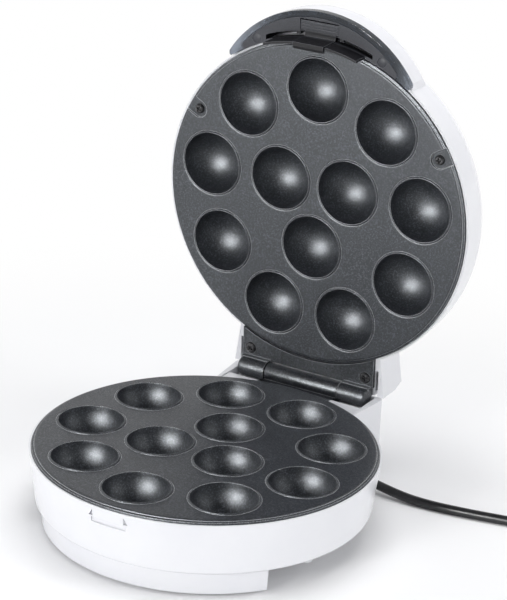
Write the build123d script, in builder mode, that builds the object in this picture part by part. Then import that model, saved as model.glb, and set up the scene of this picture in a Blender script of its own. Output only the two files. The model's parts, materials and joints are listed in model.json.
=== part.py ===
"""Cake pop maker: a round countertop cooker with a hinged lid, shown with its lid standing open.

Millimetres, +Z up. The handle side faces -Y and the hinge lies towards +Y.
The origin is on the standing surface, under the middle of the cooking plate.
"""

import os
from math import acos, atan2, cos, degrees, pi, radians, sin, sqrt, tan

from build123d import *

os.makedirs("parts", exist_ok=True)

# ---------------------------------------------------------------- heights of the base
foot_proud = 1.5  # the rubber feet stand this far out of the plinth
plinth_height = 14.5
drum_height = 33.0
plate_proud = 2.3  # the cooking face above the white rim
lip_height = 0.7  # the raised lip round each cup

drum_bottom = foot_proud + plinth_height
rim_height = drum_bottom + drum_height
crest_height = rim_height + plate_proud + lip_height

# ---------------------------------------------------------------- shells
rim_radius = 105.5  # outside of the white rim, base and lid alike
drum_taper = 3.9
drum_foot_radius = rim_radius - drum_taper  # outside of the drum above its rounded bottom edge
drum_edge_round = 2.4
wall = 2.5
part_gap = 0.3  # between a shell and what is let into it
rebate_depth = 1.5  # the plate's flange sits this far below the rim
ledge_width = 3.3
ledge_thickness = 2.0
cover_inset = 2.7
cover_radius = drum_foot_radius - cover_inset
cover_thickness = 2.5
cover_step = 0.2  # dark joint between drum and plinth
post_radius = 4.0
post_inset = 3.6
post_circle = cover_radius - post_inset
post_angles = (-20, 35, 145, 200)
post_top = 26.5
post_rib = 6.5  # reach of the rib that joins a post to the wall

# ---------------------------------------------------------------- plinth and feet
plinth_inset = 3.3
plinth_radius = drum_foot_radius - plinth_inset
plinth_draft = 1.2
plinth_depth = 20.0
plinth_half_angle = 54.0
plinth_floor = 2.5
foot_radius = 6.0
foot_recess = 1.5
foot_fit = 0.1
front_foot_inset = 10.3
front_foot_circle = plinth_radius - front_foot_inset
front_foot_angle = 44.0
rear_foot_x = 38.0
rear_foot_inset = 14.2  # from the back of the hinge tower
vent_slots = 6
vent_circle = 45.0

# ---------------------------------------------------------------- cooking plates
rim_width = 1.5  # white rim seen round the plate
flange_radius = rim_radius - rim_width
flange_step = 1.6
land_radius = flange_radius - flange_step  # edge of the raised cooking face
land_round = 0.8
plate_thickness = 3.0
cup_radius = 20.0
lip_crest_width = 0.5
lip_width = 1.2
cup_cone_top = 23.5  # the cups' cast undersides taper to a flat end
cup_cone_end = 11.0
cup_base = 2.75  # metal below the bottom of a cup
ring_cups = 9
ring_margin = 7.4  # between the outer cups and the edge of the cooking face
ring_radius = land_radius - cup_radius - ring_margin
ring_start = -10.0
core_cups = 3
core_radius = 27.3
core_start = 90.0
boss_radius = 4.5
boss_inset = 12.0
boss_circle = flange_radius - boss_inset
boss_angles = (50.0, 130.0, 250.0, 290.0)
plate_gap = 1.0  # between the two sets of lips when the lid is down
ear_inset = 7.4832  # the upper plate's screws, in from its edge
ear_angle = 29.1411
ear_circle = flange_radius - ear_inset
ear_x = ear_circle * cos(radians(ear_angle))
ear_y = -ear_circle * sin(radians(ear_angle))
ear_radius = 5.6
ear_depth = 1.6
ear_post = 4.0

# ---------------------------------------------------------------- heating
heater_diameter = 6.6
heater_inset = 24.0  # from the middles of the outer cups
heater_radius = ring_radius - heater_inset
heater_depth = 16.0  # below the crest of the lips
heater_lead_x = 5.0
heater_bend = 8.0
heater_stud = 9.0
stud_radius = 1.6
clamp_inset = 11.0
clamp_circle = heater_radius - clamp_inset
clamp_angles = (30.0, 150.0, 270.0)
clamp_boss_radius = 4.0
clamp_boss_depth = 17.0
clamp_thickness = 1.2
clamp_width = 9.0
pan_thickness = 0.6
pan_draft = 1.3
pan_side_gap = 1.2  # between the pan and the ledge that it hangs in
pan_top_radius = flange_radius - ledge_width - pan_side_gap - pan_thickness
pan_floor_radius = pan_top_radius - pan_draft
pan_brim_inset = 2.0
pan_brim_radius = flange_radius - pan_brim_inset
heater_lead_inset = 11.6
heater_lead_end = pan_floor_radius - heater_lead_inset
pan_clearance = 1.1  # between the cups' undersides and the pan
pan_notch_half = 10.5
pan_ear_gap = 3.5  # round the lid's screw posts
thermostat_radius = 7.5
thermostat_height = 6.0
thermostat_flange = 9.0
fuse_diameter = 4.2
fuse_length = 22.0
fuse_x = 33.0
fuse_y = 38.0

# ---------------------------------------------------------------- hinge
hinge_offset = 12.55  # hinge line behind the white rim
hinge_reach = rim_radius + hinge_offset  # from the plates' centre to the hinge line
hinge_drop = 1.6  # hinge line below the crest of the lower lips
open_angle = 88.3  # from closed to resting open
pin_radius = 2.5
pin_half = 43.0
running_fit = 0.05
barrel_radius = 5.7
barrel_half = 26.4
knuckle_radius = 6.2
knuckle_start = 27.0
knuckle_inset = 1.0
knuckle_round = 2.2
leaf_thickness = 3.5
web_half = 4.0
web_drop = 3.5
bracket_half = 47.5
leaf_overhang = 0.4
knuckle_end = bracket_half - knuckle_inset
leaf_half = bracket_half + leaf_overhang
leaf_reach = 30.0  # forward, to where the plate's mouth cuts it off
leaf_ramp_top = 48.6
leaf_ramp_fall = 2.6
leaf_ramp_gap = 7.25
leaf_ramp_end = hinge_reach - leaf_ramp_gap
leaf_screw_x = 18.0
leaf_screw_inset = 3.05  # in front of the hinge line
bracket_reach = 32.0  # forward, to where the plate's mouth cuts it off
bracket_face = 0.9  # the bracket's visible face over the lid's reference plane
bracket_thickness = 3.0
bracket_foot = hinge_reach - 5.45
bracket_screw_inset = 5.7
bracket_screw_x = bracket_half - bracket_screw_inset
bracket_screw_y = hinge_reach - 11.55
bracket_sink = 1.2  # depth of the seats for the bracket's screw heads
bracket_post = 4.0

# ---------------------------------------------------------------- hinge tower of the base
tower_front = rim_radius - 19.5
tower_flare = 4.3
tower_back = hinge_reach + 8.15
tower_round = 3.0
tower_foot = 3.1
recess_back = tower_back - 1.7
recess_gap = 0.4
recess_half = leaf_half + recess_gap
tower_cheek = 1.2  # wall beside the recess at its front
tower_front_half = recess_half + tower_cheek
tower_back_half = tower_front_half + tower_flare
recess_floor = 40.0
stop_half = bracket_half - 2.5
stop_gap = 0.3  # the open lid's block stands just over the tower's back wall

# ---------------------------------------------------------------- lid
lid_rim = 3.0  # height of the white rim over the lid's reference plane
lid_wall_radius = rim_radius - 0.8
lid_shoulder = 17.0
lid_height = 42.0
dome_rise = 5.0
lid_wall_top = lid_height - lid_shoulder - dome_rise
block_cheek = 3.3
block_front_half = bracket_half + block_cheek
block_front = rim_radius - 13.5
block_flare = 3.7
block_back_half = block_front_half + block_flare
block_back = hinge_reach + 0.25
block_top = 28.0
block_slope = 9.0
block_slope_back = 2.8
slot_width = 2.3
slot_depth = 4.5
slot_front = hinge_reach - 17.05
lamp_radius = 4.0
lamp_x = 9.0
lamp_y = -70.0
lamp_length = 5.0

# ---------------------------------------------------------------- handle
handle_offset = 50.7  # centre of the handle's arc in front of the lid's centre
handle_reach = 18.8  # how far the handle stands out from the white rim
visor_radius = rim_radius + handle_reach - handle_offset
visor_tip = 62.5
visor_tip_round = 1.2
shell_inset = 0.5
shell_radius = visor_radius - shell_inset
shell_tip = visor_tip - shell_inset
handle_underside = 4.6
handle_top = 23.0
handle_round = 6.0
handle_wall = 2.5
handle_gap = 0.4  # between the drum of the lid and the parts below the shell
grip_radius = visor_radius - 3.95
grip_half = visor_tip - 9.0
grip_round = 1.2
handle_screw_x = 43.3
handle_screw_y = 4.9 - rim_radius
handle_seat = 2.4
handle_head = 2.8
handle_post = 3.1
pocket_reach = 5.9  # of the finger pocket beyond the rim
pocket_centre = 16.05
pocket_radius = rim_radius + pocket_reach - pocket_centre
pocket_half = 37.0
pocket_depth = 13.0
pocket_wall = 1.6
skirt_thickness = 1.5
skirt_half = 32.0
skirt_drop = 12.0

# ---------------------------------------------------------------- latch lever
latch_half = 10.5
latch_gap = 0.35
latch_drop = 13.8
claw_tip = rim_radius - 2.4
claw_top = 11.6
stem_thickness = 1.6
stem_back = rim_radius + 0.5
stem_front = stem_back + stem_thickness
pad_half = 13.0
pad_back = rim_radius + 6.4
pad_front = rim_radius + 12.1
pad_end_gap = 1.0
pad_face = 0.4
pad_thickness = 2.0
rib_count = 3
rib_pitch = 1.8
rib_width = 0.8
rib_height = 0.5
pivot_y = rim_radius + 5.0
pivot_height = 4.2
pivot_boss = 2.9
latch_pin_radius = 1.5
cheek_start = 13.6
cheek_end = 16.2
cheek_top = 7.0
spring_half = 4.0
spring_thickness = 0.4

# ---------------------------------------------------------------- catch on the base
catch_half = 13.6
catch_step = 0.8
catch_floor = 38.6  # claw window in the front wall
catch_roof = 41.7
catch_pad_back = rim_radius - 5.6
catch_pad_half = 17.0
catch_lip_half = 10.5
wedge_top = 47.0
wedge_bottom = 42.5

# ---------------------------------------------------------------- screws
thread_radius = 1.85
hole_radius = 1.9
clear_radius = 2.1
head_radius = 3.6
head_height = 2.2
screw_length = 9.0

# ---------------------------------------------------------------- mains lead
cord_diameter = 5.8
relief_outside = 17.1
relief_inside = 6.0
relief_large = 8.4
relief_small = 6.9
lead_points = [
    (67.6, 94.7, 6.0),
    (84.0, 92.6, 4.2),
    (102.0, 93.4, 2.9),
    (122.0, 95.6, 2.9),
    (146.0, 100.3, 2.9),
    (172.0, 106.2, 2.9),
    (200.0, 111.6, 2.9),
]
coil_turns = 2.25
coil_arcs = 9
coil_diameter = 64.0
coil_pitch = 7.0
coil_straight = 6.0
coil_layers_apart = 7.0
coil_first_climb = 0.75
coil_climb = 0.5
tail_length = 54.0
plug_radius = 18.5
plug_neck = 4.6
plug_neck_length = 16.0
plug_length = 34.0
plug_pin_radius = 2.4
plug_pin_length = 19.0
plug_pin_spacing = 19.0

# ================================================================ reference planes
hinge_height = crest_height - hinge_drop
lid_rise = plate_gap + hinge_drop  # the lid's reference plane over the hinge line, lid down
open_cos = cos(radians(open_angle))
open_sin = sin(radians(open_angle))

base_plan = Plane.XY
lower_face = Plane.XY.offset(crest_height)
lid_plan = Plane(
    origin=(
        0,
        hinge_reach - hinge_reach * open_cos + lid_rise * open_sin,
        hinge_height + hinge_reach * open_sin + lid_rise * open_cos,
    ),
    x_dir=(1, 0, 0),
    z_dir=(0, open_sin, open_cos),
)
# the upper plate is drawn like the lower one, on a plane that looks the other way
upper_face = Plane(origin=lid_plan.origin, x_dir=(1, 0, 0), z_dir=-lid_plan.z_dir)


def upright(plane, angle=0.0):
    """The plane through the given plane's axis, turned about it: x outwards, y along the axis."""
    outwards = plane.x_dir * cos(radians(angle)) + plane.y_dir * sin(radians(angle))
    sideways = plane.x_dir * sin(radians(angle)) - plane.y_dir * cos(radians(angle))
    return Plane(origin=plane.origin, x_dir=outwards, z_dir=sideways)


def side_view(plane):
    """The plane square to x through the origin of the given plane: x along its y, y along its axis."""
    return Plane(origin=plane.origin, x_dir=plane.y_dir, z_dir=plane.x_dir)


def lid_plan_at(x, y):
    """The lid's plane with its origin moved to a place in its plan."""
    return Plane(origin=lid_plan.from_local_coords(Vector(x, y, 0)), x_dir=(1, 0, 0), z_dir=lid_plan.z_dir)


def axis_of(plane):
    return Axis(plane.origin, plane.z_dir)


def polar(radius, angle):
    return (radius * cos(radians(angle)), radius * sin(radians(angle)))


def flipped(spots):
    """The same places as read on a plane that looks the other way."""
    return [(x, -y) for x, y in spots]


def save(builder, name):
    """Label a finished piece and write it to its own file."""
    builder.part.label = name
    export_step(builder.part, f"parts/{name}.step")


def turned_body(plane, points, arc=360.0, angle=0.0):
    """A body of revolution from an outline of (radius, height) points on the given plane."""
    with BuildPart() as body:
        with BuildSketch(upright(plane, angle)):
            with BuildLine():
                Polyline(*points, close=True)
            make_face()
        revolve(axis=axis_of(plane), revolution_arc=arc)
    return body.part


def studs(plane, spots, radius, start, end):
    """Round rods at the given spots, from one height over the plane to another."""
    with BuildPart() as rods:
        with BuildSketch(plane.offset(start)):
            with Locations(*spots):
                Circle(radius)
        extrude(amount=end - start)
    return rods.part


def screws(plane, spots, seat, length=screw_length, head=head_radius):
    """Pan-head screws: heads on the seat height, shanks running along the plane's axis."""
    with BuildPart() as fasteners:
        add(studs(plane, spots, thread_radius, seat, seat + length))
        add(studs(plane, spots, head, seat, seat - head_height))
    return fasteners


# ================================================================ cooking plates
cup_depth = cup_radius + cup_base
pan_depth = cup_depth + pan_clearance  # top of the pan below the crest
plate_back = lip_height + plate_thickness
flange_depth = lip_height + plate_proud + rebate_depth
screw_spots = [polar(boss_circle, angle) for angle in boss_angles]
clamp_spots = [polar(clamp_circle, angle) for angle in clamp_angles]
ear_spots = [(-ear_x, ear_y), (ear_x, ear_y)]

with BuildPart() as cup_body:
    with BuildSketch(Plane.XZ):
        with BuildLine():
            Polyline(
                (0, 0),
                (cup_radius + lip_crest_width, 0),
                (cup_radius + lip_width, -lip_height),
                (cup_radius + lip_width, -plate_back),
                (cup_cone_top, -plate_back),
                (cup_cone_end, -cup_depth),
                (0, -cup_depth),
                close=True,
            )
        make_face()
    revolve(axis=Axis.Z)

with BuildPart() as cup_hollow:
    Sphere(cup_radius)


def plate_blank(face, bosses):
    """Disc with a raised cooking face, a flange to sit on and cast bosses on its back."""
    with BuildPart() as blank:
        with BuildSketch(upright(face)):
            with BuildLine():
                top = -lip_height
                Line((0, top), (land_radius - land_round, top))
                CenterArc((land_radius - land_round, top - land_round), land_round, 90, -90)
                Polyline(
                    (land_radius, top - land_round),
                    (flange_radius - 0.5, top - land_round - 0.2),
                    (flange_radius, top - land_round - 0.7),
                    (flange_radius, -flange_depth),
                    (flange_radius - ledge_width, -flange_depth),
                    (flange_radius - ledge_width, -plate_back),
                    (0, -plate_back),
                    (0, top),
                )
            make_face()
        revolve(axis=axis_of(face))
        screws_here = screw_spots if bosses > 0 else flipped(screw_spots)
        add(studs(face, screws_here, boss_radius, -pan_depth, -plate_back))
        clamps = clamp_spots if bosses > 0 else flipped(clamp_spots)
        add(studs(face, clamps, clamp_boss_radius, -clamp_boss_depth, -plate_back))
    return blank.part


def cups_at(face, piece, first_ring, first_core):
    """The piece repeated at every cup of a plate."""
    with BuildPart(face) as cups:
        with PolarLocations(ring_radius, ring_cups, start_angle=first_ring):
            add(piece)
        with PolarLocations(core_radius, core_cups, start_angle=first_core):
            add(piece)
    return cups.part


def plate_threads(face, side):
    """Holes for the screws of the pan and of the heater clamps."""
    pan_holes = screw_spots if side > 0 else flipped(screw_spots)
    clamp_holes = clamp_spots if side > 0 else flipped(clamp_spots)
    with BuildPart() as holes:
        add(studs(face, pan_holes, hole_radius, -pan_depth - 1, -pan_depth + screw_length + 1))
        clamp_top = -clamp_boss_depth + screw_length + 1
        add(studs(face, clamp_holes, hole_radius, -clamp_boss_depth - 1, clamp_top))
    return holes.part


with BuildPart() as lower_plate:
    add(plate_blank(lower_face, 1))
    add(cups_at(lower_face, cup_body.part, ring_start, core_start))
    add(cups_at(lower_face, cup_hollow.part, ring_start, core_start), mode=Mode.SUBTRACT)
    add(plate_threads(lower_face, 1), mode=Mode.SUBTRACT)
save(lower_plate, "lower_plate")

# the upper plate hangs from two screws in U-shaped seats that open to its edge
with BuildPart() as ear_seats:
    for x, y in ear_spots:
        outward = degrees(atan2(y, x))
        with BuildSketch(lid_plan.offset(-1)):
            with Locations(Location((x, y, 0), (0, 0, outward))):
                Circle(ear_radius)
                Rectangle(ear_circle, 2 * ear_radius, align=(Align.MIN, Align.CENTER))
        extrude(amount=1 + lip_height + ear_depth)
    add(studs(lid_plan, ear_spots, clear_radius, -1, plate_back + 1))

with BuildPart() as upper_plate:
    add(plate_blank(upper_face, -1))
    add(cups_at(upper_face, cup_body.part, -ring_start, -core_start))
    add(cups_at(upper_face, cup_hollow.part, -ring_start, -core_start), mode=Mode.SUBTRACT)
    add(plate_threads(upper_face, -1), mode=Mode.SUBTRACT)
    add(ear_seats.part, mode=Mode.SUBTRACT)
save(upper_plate, "upper_plate")

ear_seat_height = lip_height + ear_depth
upper_plate_screws = screws(lid_plan, ear_spots, ear_seat_height, 12.0)
save(upper_plate_screws, "upper_plate_screws")

# ================================================================ heating, alike in base and lid


def heater(face, side):
    """Tubular element: an open ring between the two rings of cups, its ends led out to the hinge side."""
    bend_reach = heater_radius + heater_bend
    bend_x = heater_lead_x + heater_bend
    bend_y = sqrt(bend_reach**2 - bend_x**2)
    share = heater_radius / bend_reach
    open_half = degrees(acos(share * bend_y / heater_radius))
    level = face.offset(-heater_depth)
    with BuildPart() as element:
        with BuildLine(level) as path:
            ring = CenterArc((0, 0), heater_radius, side * (90 - open_half), -side * (360 - 2 * open_half))
            near = TangentArc(ring @ 0, (heater_lead_x, side * bend_y), tangent=-(ring % 0))
            far = TangentArc(ring @ 1, (-heater_lead_x, side * bend_y), tangent=ring % 1)
            Line((heater_lead_x, side * bend_y), (heater_lead_x, side * heater_lead_end))
            Line((-heater_lead_x, side * bend_y), (-heater_lead_x, side * heater_lead_end))
        outwards = level.y_dir * side
        ends = [
            level.from_local_coords(Vector(x, side * heater_lead_end, 0))
            for x in (heater_lead_x, -heater_lead_x)
        ]
        with BuildSketch(Plane(origin=ends[0], z_dir=outwards)):
            Circle(heater_diameter / 2)
        sweep(path=path.wires()[0])
        for end in ends:
            with BuildSketch(Plane(origin=end, z_dir=outwards)):
                Circle(stud_radius)
            extrude(amount=heater_stud)
    return element


def heater_clamps(face, spots):
    """Saddle strips that hold the element against the back of the plate."""
    saddle = heater_diameter / 2 + running_fit
    outside = saddle + clamp_thickness
    tube_level = -heater_depth
    strip_top = -clamp_boss_depth
    strip_foot = strip_top - clamp_thickness
    share = degrees(clamp_width / heater_radius)
    with BuildPart() as clamps:
        for x, y in spots:
            with BuildSketch(upright(face, degrees(atan2(y, x)) - share / 2)):
                with Locations((heater_radius, tube_level)):
                    Circle(outside)
                with BuildLine():
                    Polyline(
                        (clamp_circle - clamp_boss_radius, strip_top),
                        (heater_radius, strip_top),
                        (heater_radius, strip_foot),
                        (clamp_circle - clamp_boss_radius, strip_foot),
                        close=True,
                    )
                make_face()
                with Locations((heater_radius, tube_level)):
                    Circle(saddle, mode=Mode.SUBTRACT)
                    Rectangle(2 * outside, outside, align=(Align.CENTER, Align.MIN), mode=Mode.SUBTRACT)
            revolve(axis=axis_of(face), revolution_arc=share)
        add(studs(face, spots, hole_radius, strip_foot - 1, strip_top + 1), mode=Mode.SUBTRACT)
    return clamps


def pan(face, side, brim):
    """Thin pressed pan behind a plate, cut away for the heater's ends."""
    floor_top = -pan_depth
    floor_back = floor_top - pan_thickness
    with BuildPart() as pressing:
        brim_top = -(flange_depth + ledge_thickness)
        brim_back = brim_top - pan_thickness
        rise = [(pan_floor_radius + pan_thickness, floor_back), (pan_top_radius + pan_thickness, brim_back)]
        fall = [(pan_top_radius, brim_top), (pan_floor_radius, floor_top)]
        edge = [(brim, brim_back), (brim, brim_top)] if brim > 0 else []
        add(turned_body(face, [(0, floor_back)] + rise + edge + fall + [(0, floor_top)]))
        with BuildSketch(face.offset(floor_top + heater_diameter / 2)):
            with Locations((0, side * pan_brim_radius)):
                Rectangle(2 * pan_notch_half, pan_brim_radius / 4)
        extrude(amount=cup_radius, mode=Mode.SUBTRACT)
        holes = screw_spots if side > 0 else flipped(screw_spots)
        add(studs(face, holes, clear_radius, floor_back - 1, floor_top + 1), mode=Mode.SUBTRACT)
    return pressing


save(heater(lower_face, 1), "lower_heater")
save(heater(upper_face, -1), "upper_heater")
save(heater_clamps(lower_face, clamp_spots), "lower_heater_clamps")
save(heater_clamps(upper_face, flipped(clamp_spots)), "upper_heater_clamps")
clamp_seat = -clamp_boss_depth - clamp_thickness
save(screws(lower_face, clamp_spots, clamp_seat), "lower_clamp_screws")
save(screws(upper_face, flipped(clamp_spots), clamp_seat), "upper_clamp_screws")

lower_pan = pan(lower_face, 1, pan_brim_radius)
with BuildPart() as lower_reflector:
    add(lower_pan.part)
    with BuildSketch(base_plan.offset(catch_floor - wall - 1)):
        with Locations((0, -pan_brim_radius)):
            Rectangle(2 * catch_pad_half + 2, 2 * (pan_brim_radius - catch_pad_back) + 1)
    extrude(amount=drum_height, mode=Mode.SUBTRACT)
save(lower_reflector, "lower_reflector")
upper_pan = pan(upper_face, -1, 0)
with BuildPart() as upper_reflector:
    add(upper_pan.part)
    ear_room = ear_post + pan_ear_gap
    add(studs(lid_plan, ear_spots, ear_room, 0, pan_depth + pan_thickness + 1), mode=Mode.SUBTRACT)
save(upper_reflector, "upper_reflector")
pan_seat = -pan_depth - pan_thickness
save(screws(lower_face, screw_spots, pan_seat), "lower_pan_screws")
save(screws(upper_face, flipped(screw_spots), pan_seat), "upper_pan_screws")

# thermostat and thermal fuse sit on the lower pan
pan_floor = crest_height - pan_depth
with BuildPart() as thermostat:
    add(studs(base_plan, [(0, 0)], thermostat_flange, pan_floor, pan_floor + 1.0))
    add(studs(base_plan, [(0, 0)], thermostat_radius, pan_floor + 1.0, pan_floor + thermostat_height))
    with BuildSketch(base_plan.offset(pan_floor + thermostat_height)):
        Circle(thermostat_radius - 1.2)
    extrude(amount=1.0)
    with BuildSketch(base_plan.offset(pan_floor + 1.0)):
        with Locations((thermostat_radius + 3.0, 0), (-thermostat_radius - 3.0, 0)):
            Rectangle(8.0, 6.3)
    extrude(amount=0.8)
save(thermostat, "thermostat")

fuse_wire = 7.0
fuse_level = pan_floor + fuse_diameter / 2
with BuildPart() as thermal_fuse:
    for radius, length in ((fuse_diameter / 2, fuse_length), (0.6, fuse_length + 2 * fuse_wire)):
        with BuildSketch(Plane(origin=(fuse_x, fuse_y, fuse_level), z_dir=(1, 0, 0))):
            Circle(radius)
        extrude(amount=length / 2, both=True)
save(thermal_fuse, "thermal_fuse")

# ================================================================ base housing
ledge_radius = flange_radius - ledge_width
mouth_radius = flange_radius + part_gap
ledge_level = rim_height - rebate_depth
cover_opening = cover_radius + part_gap
cover_level = drum_bottom + cover_step
cover_top = cover_level + cover_thickness
post_spots = [polar(post_circle, angle) for angle in post_angles]
tower_slope = (tower_back_half - tower_front_half) / (tower_back - tower_front)


def tower_plan(inset, front):
    """Plan of the hinge tower from the given front line, drawn inwards by the inset."""
    back = tower_back - inset
    front_half = tower_front_half + tower_slope * (front - tower_front) - inset
    back_half = tower_front_half + tower_slope * (back - tower_front) - inset
    return [(-front_half, front), (front_half, front), (back_half, back), (-back_half, back)]


def block(plane, outline, start, end):
    """A straight block over an outline, from one height over the plane to another."""
    with BuildPart() as body:
        with BuildSketch(plane.offset(start)):
            with BuildLine():
                Polyline(*outline, close=True)
            make_face()
        extrude(amount=end - start)
    return body.part


def box_between(plane, x, y, z):
    """A box given by its two limits along each direction of a plane."""
    outline = [(x[0], y[0]), (x[1], y[0]), (x[1], y[1]), (x[0], y[1])]
    return block(plane, outline, z[0], z[1])


def rods(plane, spots, radius, start, end, reach):
    """Round posts that a rib joins to the wall outside them."""
    with BuildPart() as posts:
        for x, y in spots:
            outward = degrees(atan2(y, x))
            with BuildSketch(plane.offset(start)):
                with Locations(Location((x, y, 0), (0, 0, outward))):
                    Circle(radius)
                    Rectangle(reach, radius, align=(Align.MIN, Align.CENTER))
            extrude(amount=end - start)
    return posts.part


inner_foot = cover_opening
inner_share = 0.88  # the inside leans out like the outside up to the ledge
inner_top = drum_foot_radius + drum_taper * inner_share - wall
with BuildPart() as drum_inside:
    add(
        turned_body(
            base_plan,
            [
                (0, drum_bottom - 1),
                (inner_foot, drum_bottom - 1),
                (inner_foot, cover_top + 1),
                (inner_top, ledge_level - ledge_thickness),
                (0, ledge_level - ledge_thickness),
            ],
        )
    )
    add(rods(base_plan, post_spots, post_radius, cover_top, post_top, post_rib), mode=Mode.SUBTRACT)
    catch_back = [(-catch_pad_half, -rim_radius), (catch_pad_half, -rim_radius)]
    catch_back += [(catch_pad_half, -catch_pad_back), (-catch_pad_half, -catch_pad_back)]
    add(block(base_plan, catch_back, catch_floor - wall, rim_height), mode=Mode.SUBTRACT)

route = [Vector(*point) for point in lead_points]
exit_way = (route[1] - route[0]).normalized()
exit_spot = route[0] - exit_way * relief_outside
tower_inside_top = recess_floor - wall

with BuildPart() as base_housing:
    with BuildSketch(upright(base_plan)):
        with BuildLine():
            foot = (drum_foot_radius - drum_edge_round, drum_bottom)
            Polyline((0, rim_height), (0, drum_bottom), foot)
            CenterArc((foot[0], drum_bottom + drum_edge_round), drum_edge_round, -90, 90)
            side = (drum_foot_radius, drum_bottom + drum_edge_round)
            Polyline(side, (rim_radius, rim_height), (0, rim_height))
        make_face()
    revolve(axis=Axis.Z)
    with BuildSketch(base_plan.offset(tower_foot)) as tower_sketch:
        with BuildLine():
            Polyline(*tower_plan(0, tower_front), close=True)
        make_face()
        fillet(tower_sketch.vertices().sort_by(Axis.Y)[-2:], tower_round)
    extrude(amount=rim_height - tower_foot)
    stop_top = hinge_height - (block_back - hinge_reach) - stop_gap
    add(box_between(base_plan, (-stop_half, stop_half), (recess_back, tower_back), (rim_height, stop_top)))
    add(drum_inside.part, mode=Mode.SUBTRACT)
    add(studs(base_plan, [(0, 0)], ledge_radius, drum_bottom, rim_height + 1), mode=Mode.SUBTRACT)
    add(studs(base_plan, [(0, 0)], mouth_radius, ledge_level, rim_height + 1), mode=Mode.SUBTRACT)
    add(rods(base_plan, post_spots, post_radius, cover_top, post_top, post_rib))
    add(
        block(base_plan, tower_plan(wall, tower_front - wall), tower_foot - 1, tower_inside_top),
        mode=Mode.SUBTRACT,
    )
    with BuildSketch(base_plan.offset(recess_floor)):
        with Locations((0, recess_back)):
            Rectangle(2 * recess_half, recess_back / 2, align=(Align.CENTER, Align.MAX))
        Circle(mouth_radius, mode=Mode.SUBTRACT)
    extrude(amount=rim_height, mode=Mode.SUBTRACT)
    add(studs(base_plan, post_spots, hole_radius, cover_top - 1, post_top - 0.8), mode=Mode.SUBTRACT)
    # slot for the strain relief, open at the lower edge
    with BuildSketch(Plane(origin=exit_spot - exit_way * relief_inside, x_dir=(0, 0, 1), z_dir=exit_way)):
        Circle(relief_large / 2)
        Rectangle(2 * tower_foot + exit_spot.Z, relief_large, align=(Align.MAX, Align.CENTER))
    extrude(amount=2 * relief_inside, mode=Mode.SUBTRACT)
    # catch for the latch: a stepped window in the front wall with a ramp between two wedge slots
    add(
        box_between(
            base_plan,
            (-catch_half, catch_half),
            (-rim_radius - 1, -rim_radius + catch_step),
            (catch_floor, rim_height + 1),
        ),
        mode=Mode.SUBTRACT,
    )
    add(
        box_between(
            base_plan,
            (-catch_lip_half - 1, catch_lip_half + 1),
            (-rim_radius - 1, -claw_tip + part_gap),
            (catch_floor, catch_roof),
        ),
        mode=Mode.SUBTRACT,
    )
    for side in (-1, 1):
        inner = side * catch_lip_half
        outer = side * (catch_half - 0.4)
        wedge = [(inner, wedge_top), (outer, wedge_bottom), (inner, wedge_bottom)]
        with BuildSketch(Plane(origin=(0, -rim_radius - 1, 0), x_dir=(1, 0, 0), z_dir=(0, 1, 0))):
            with BuildLine():
                Polyline(*[(x, -z) for x, z in wedge], close=True)
            make_face()
        extrude(amount=4.5, mode=Mode.SUBTRACT)
    leaf_screw_y = hinge_reach - leaf_screw_inset
    leaf_screw_spots = [(-leaf_screw_x, leaf_screw_y), (leaf_screw_x, leaf_screw_y)]
    leaf_holes = studs(base_plan, leaf_screw_spots, clear_radius, tower_inside_top - 1, recess_floor + 1)
    add(leaf_holes, mode=Mode.SUBTRACT)
save(base_housing, "base_housing")

# ================================================================ bottom cover with plinth and feet
front_feet = [polar(front_foot_circle, -90 + side * front_foot_angle) for side in (-1, 1)]
rear_foot_y = tower_back - rear_foot_inset
rear_feet = [(-rear_foot_x, rear_foot_y), (rear_foot_x, rear_foot_y)]
foot_spots = front_feet + rear_feet
plinth_start = -90 - plinth_half_angle
well_angle = degrees(plinth_floor / plinth_radius) * 2
heel_front = tower_front + 2.0
heel_gap = wall + part_gap


def plinth_ring(inset, start, end, trim):
    """Part of a ring under the front of the drum, drafted on its outside."""
    low = plinth_radius - plinth_draft
    return turned_body(
        base_plan,
        [
            (plinth_radius - plinth_depth + inset, start),
            (low - inset, start),
            (plinth_radius - inset, end),
            (plinth_radius - plinth_depth + inset, end),
        ],
        2 * (plinth_half_angle - trim),
        plinth_start + trim,
    )


with BuildPart() as bottom_cover:
    add(plinth_ring(0, foot_proud, cover_level + 1, 0))
    low_edges = bottom_cover.edges().filter_by_position(Axis.Z, foot_proud - 0.1, foot_proud + 0.1)
    fillet(low_edges, 1.2)
    add(studs(base_plan, [(0, 0)], cover_radius, cover_level, cover_top))
    add(block(base_plan, tower_plan(heel_gap, heel_front), foot_proud, cover_top))
    add(plinth_ring(plinth_floor, foot_proud + plinth_floor, cover_top + 1, well_angle), mode=Mode.SUBTRACT)
    add(
        block(
            base_plan,
            tower_plan(heel_gap + plinth_floor, heel_front + plinth_floor),
            foot_proud + plinth_floor,
            cover_top + 1,
        ),
        mode=Mode.SUBTRACT,
    )
    for x, y in foot_spots:
        add(studs(base_plan, [(x, y)], foot_radius + 1.5, foot_proud, foot_proud + plinth_floor + 1.5))
    add(studs(base_plan, foot_spots, foot_radius + foot_fit, 0, foot_proud + foot_recess), mode=Mode.SUBTRACT)
    add(studs(base_plan, post_spots, clear_radius, cover_level - 1, cover_top + 1), mode=Mode.SUBTRACT)
    with BuildSketch(base_plan.offset(cover_level - 1)):
        with PolarLocations(vent_circle, vent_slots):
            SlotOverall(26, 3)
    extrude(amount=cover_thickness + 2, mode=Mode.SUBTRACT)
    with BuildSketch(Plane(origin=exit_spot - exit_way * 2 * relief_inside, z_dir=exit_way)):
        Circle(relief_large / 2 + 0.4)
    extrude(amount=3 * relief_inside, mode=Mode.SUBTRACT)
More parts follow.
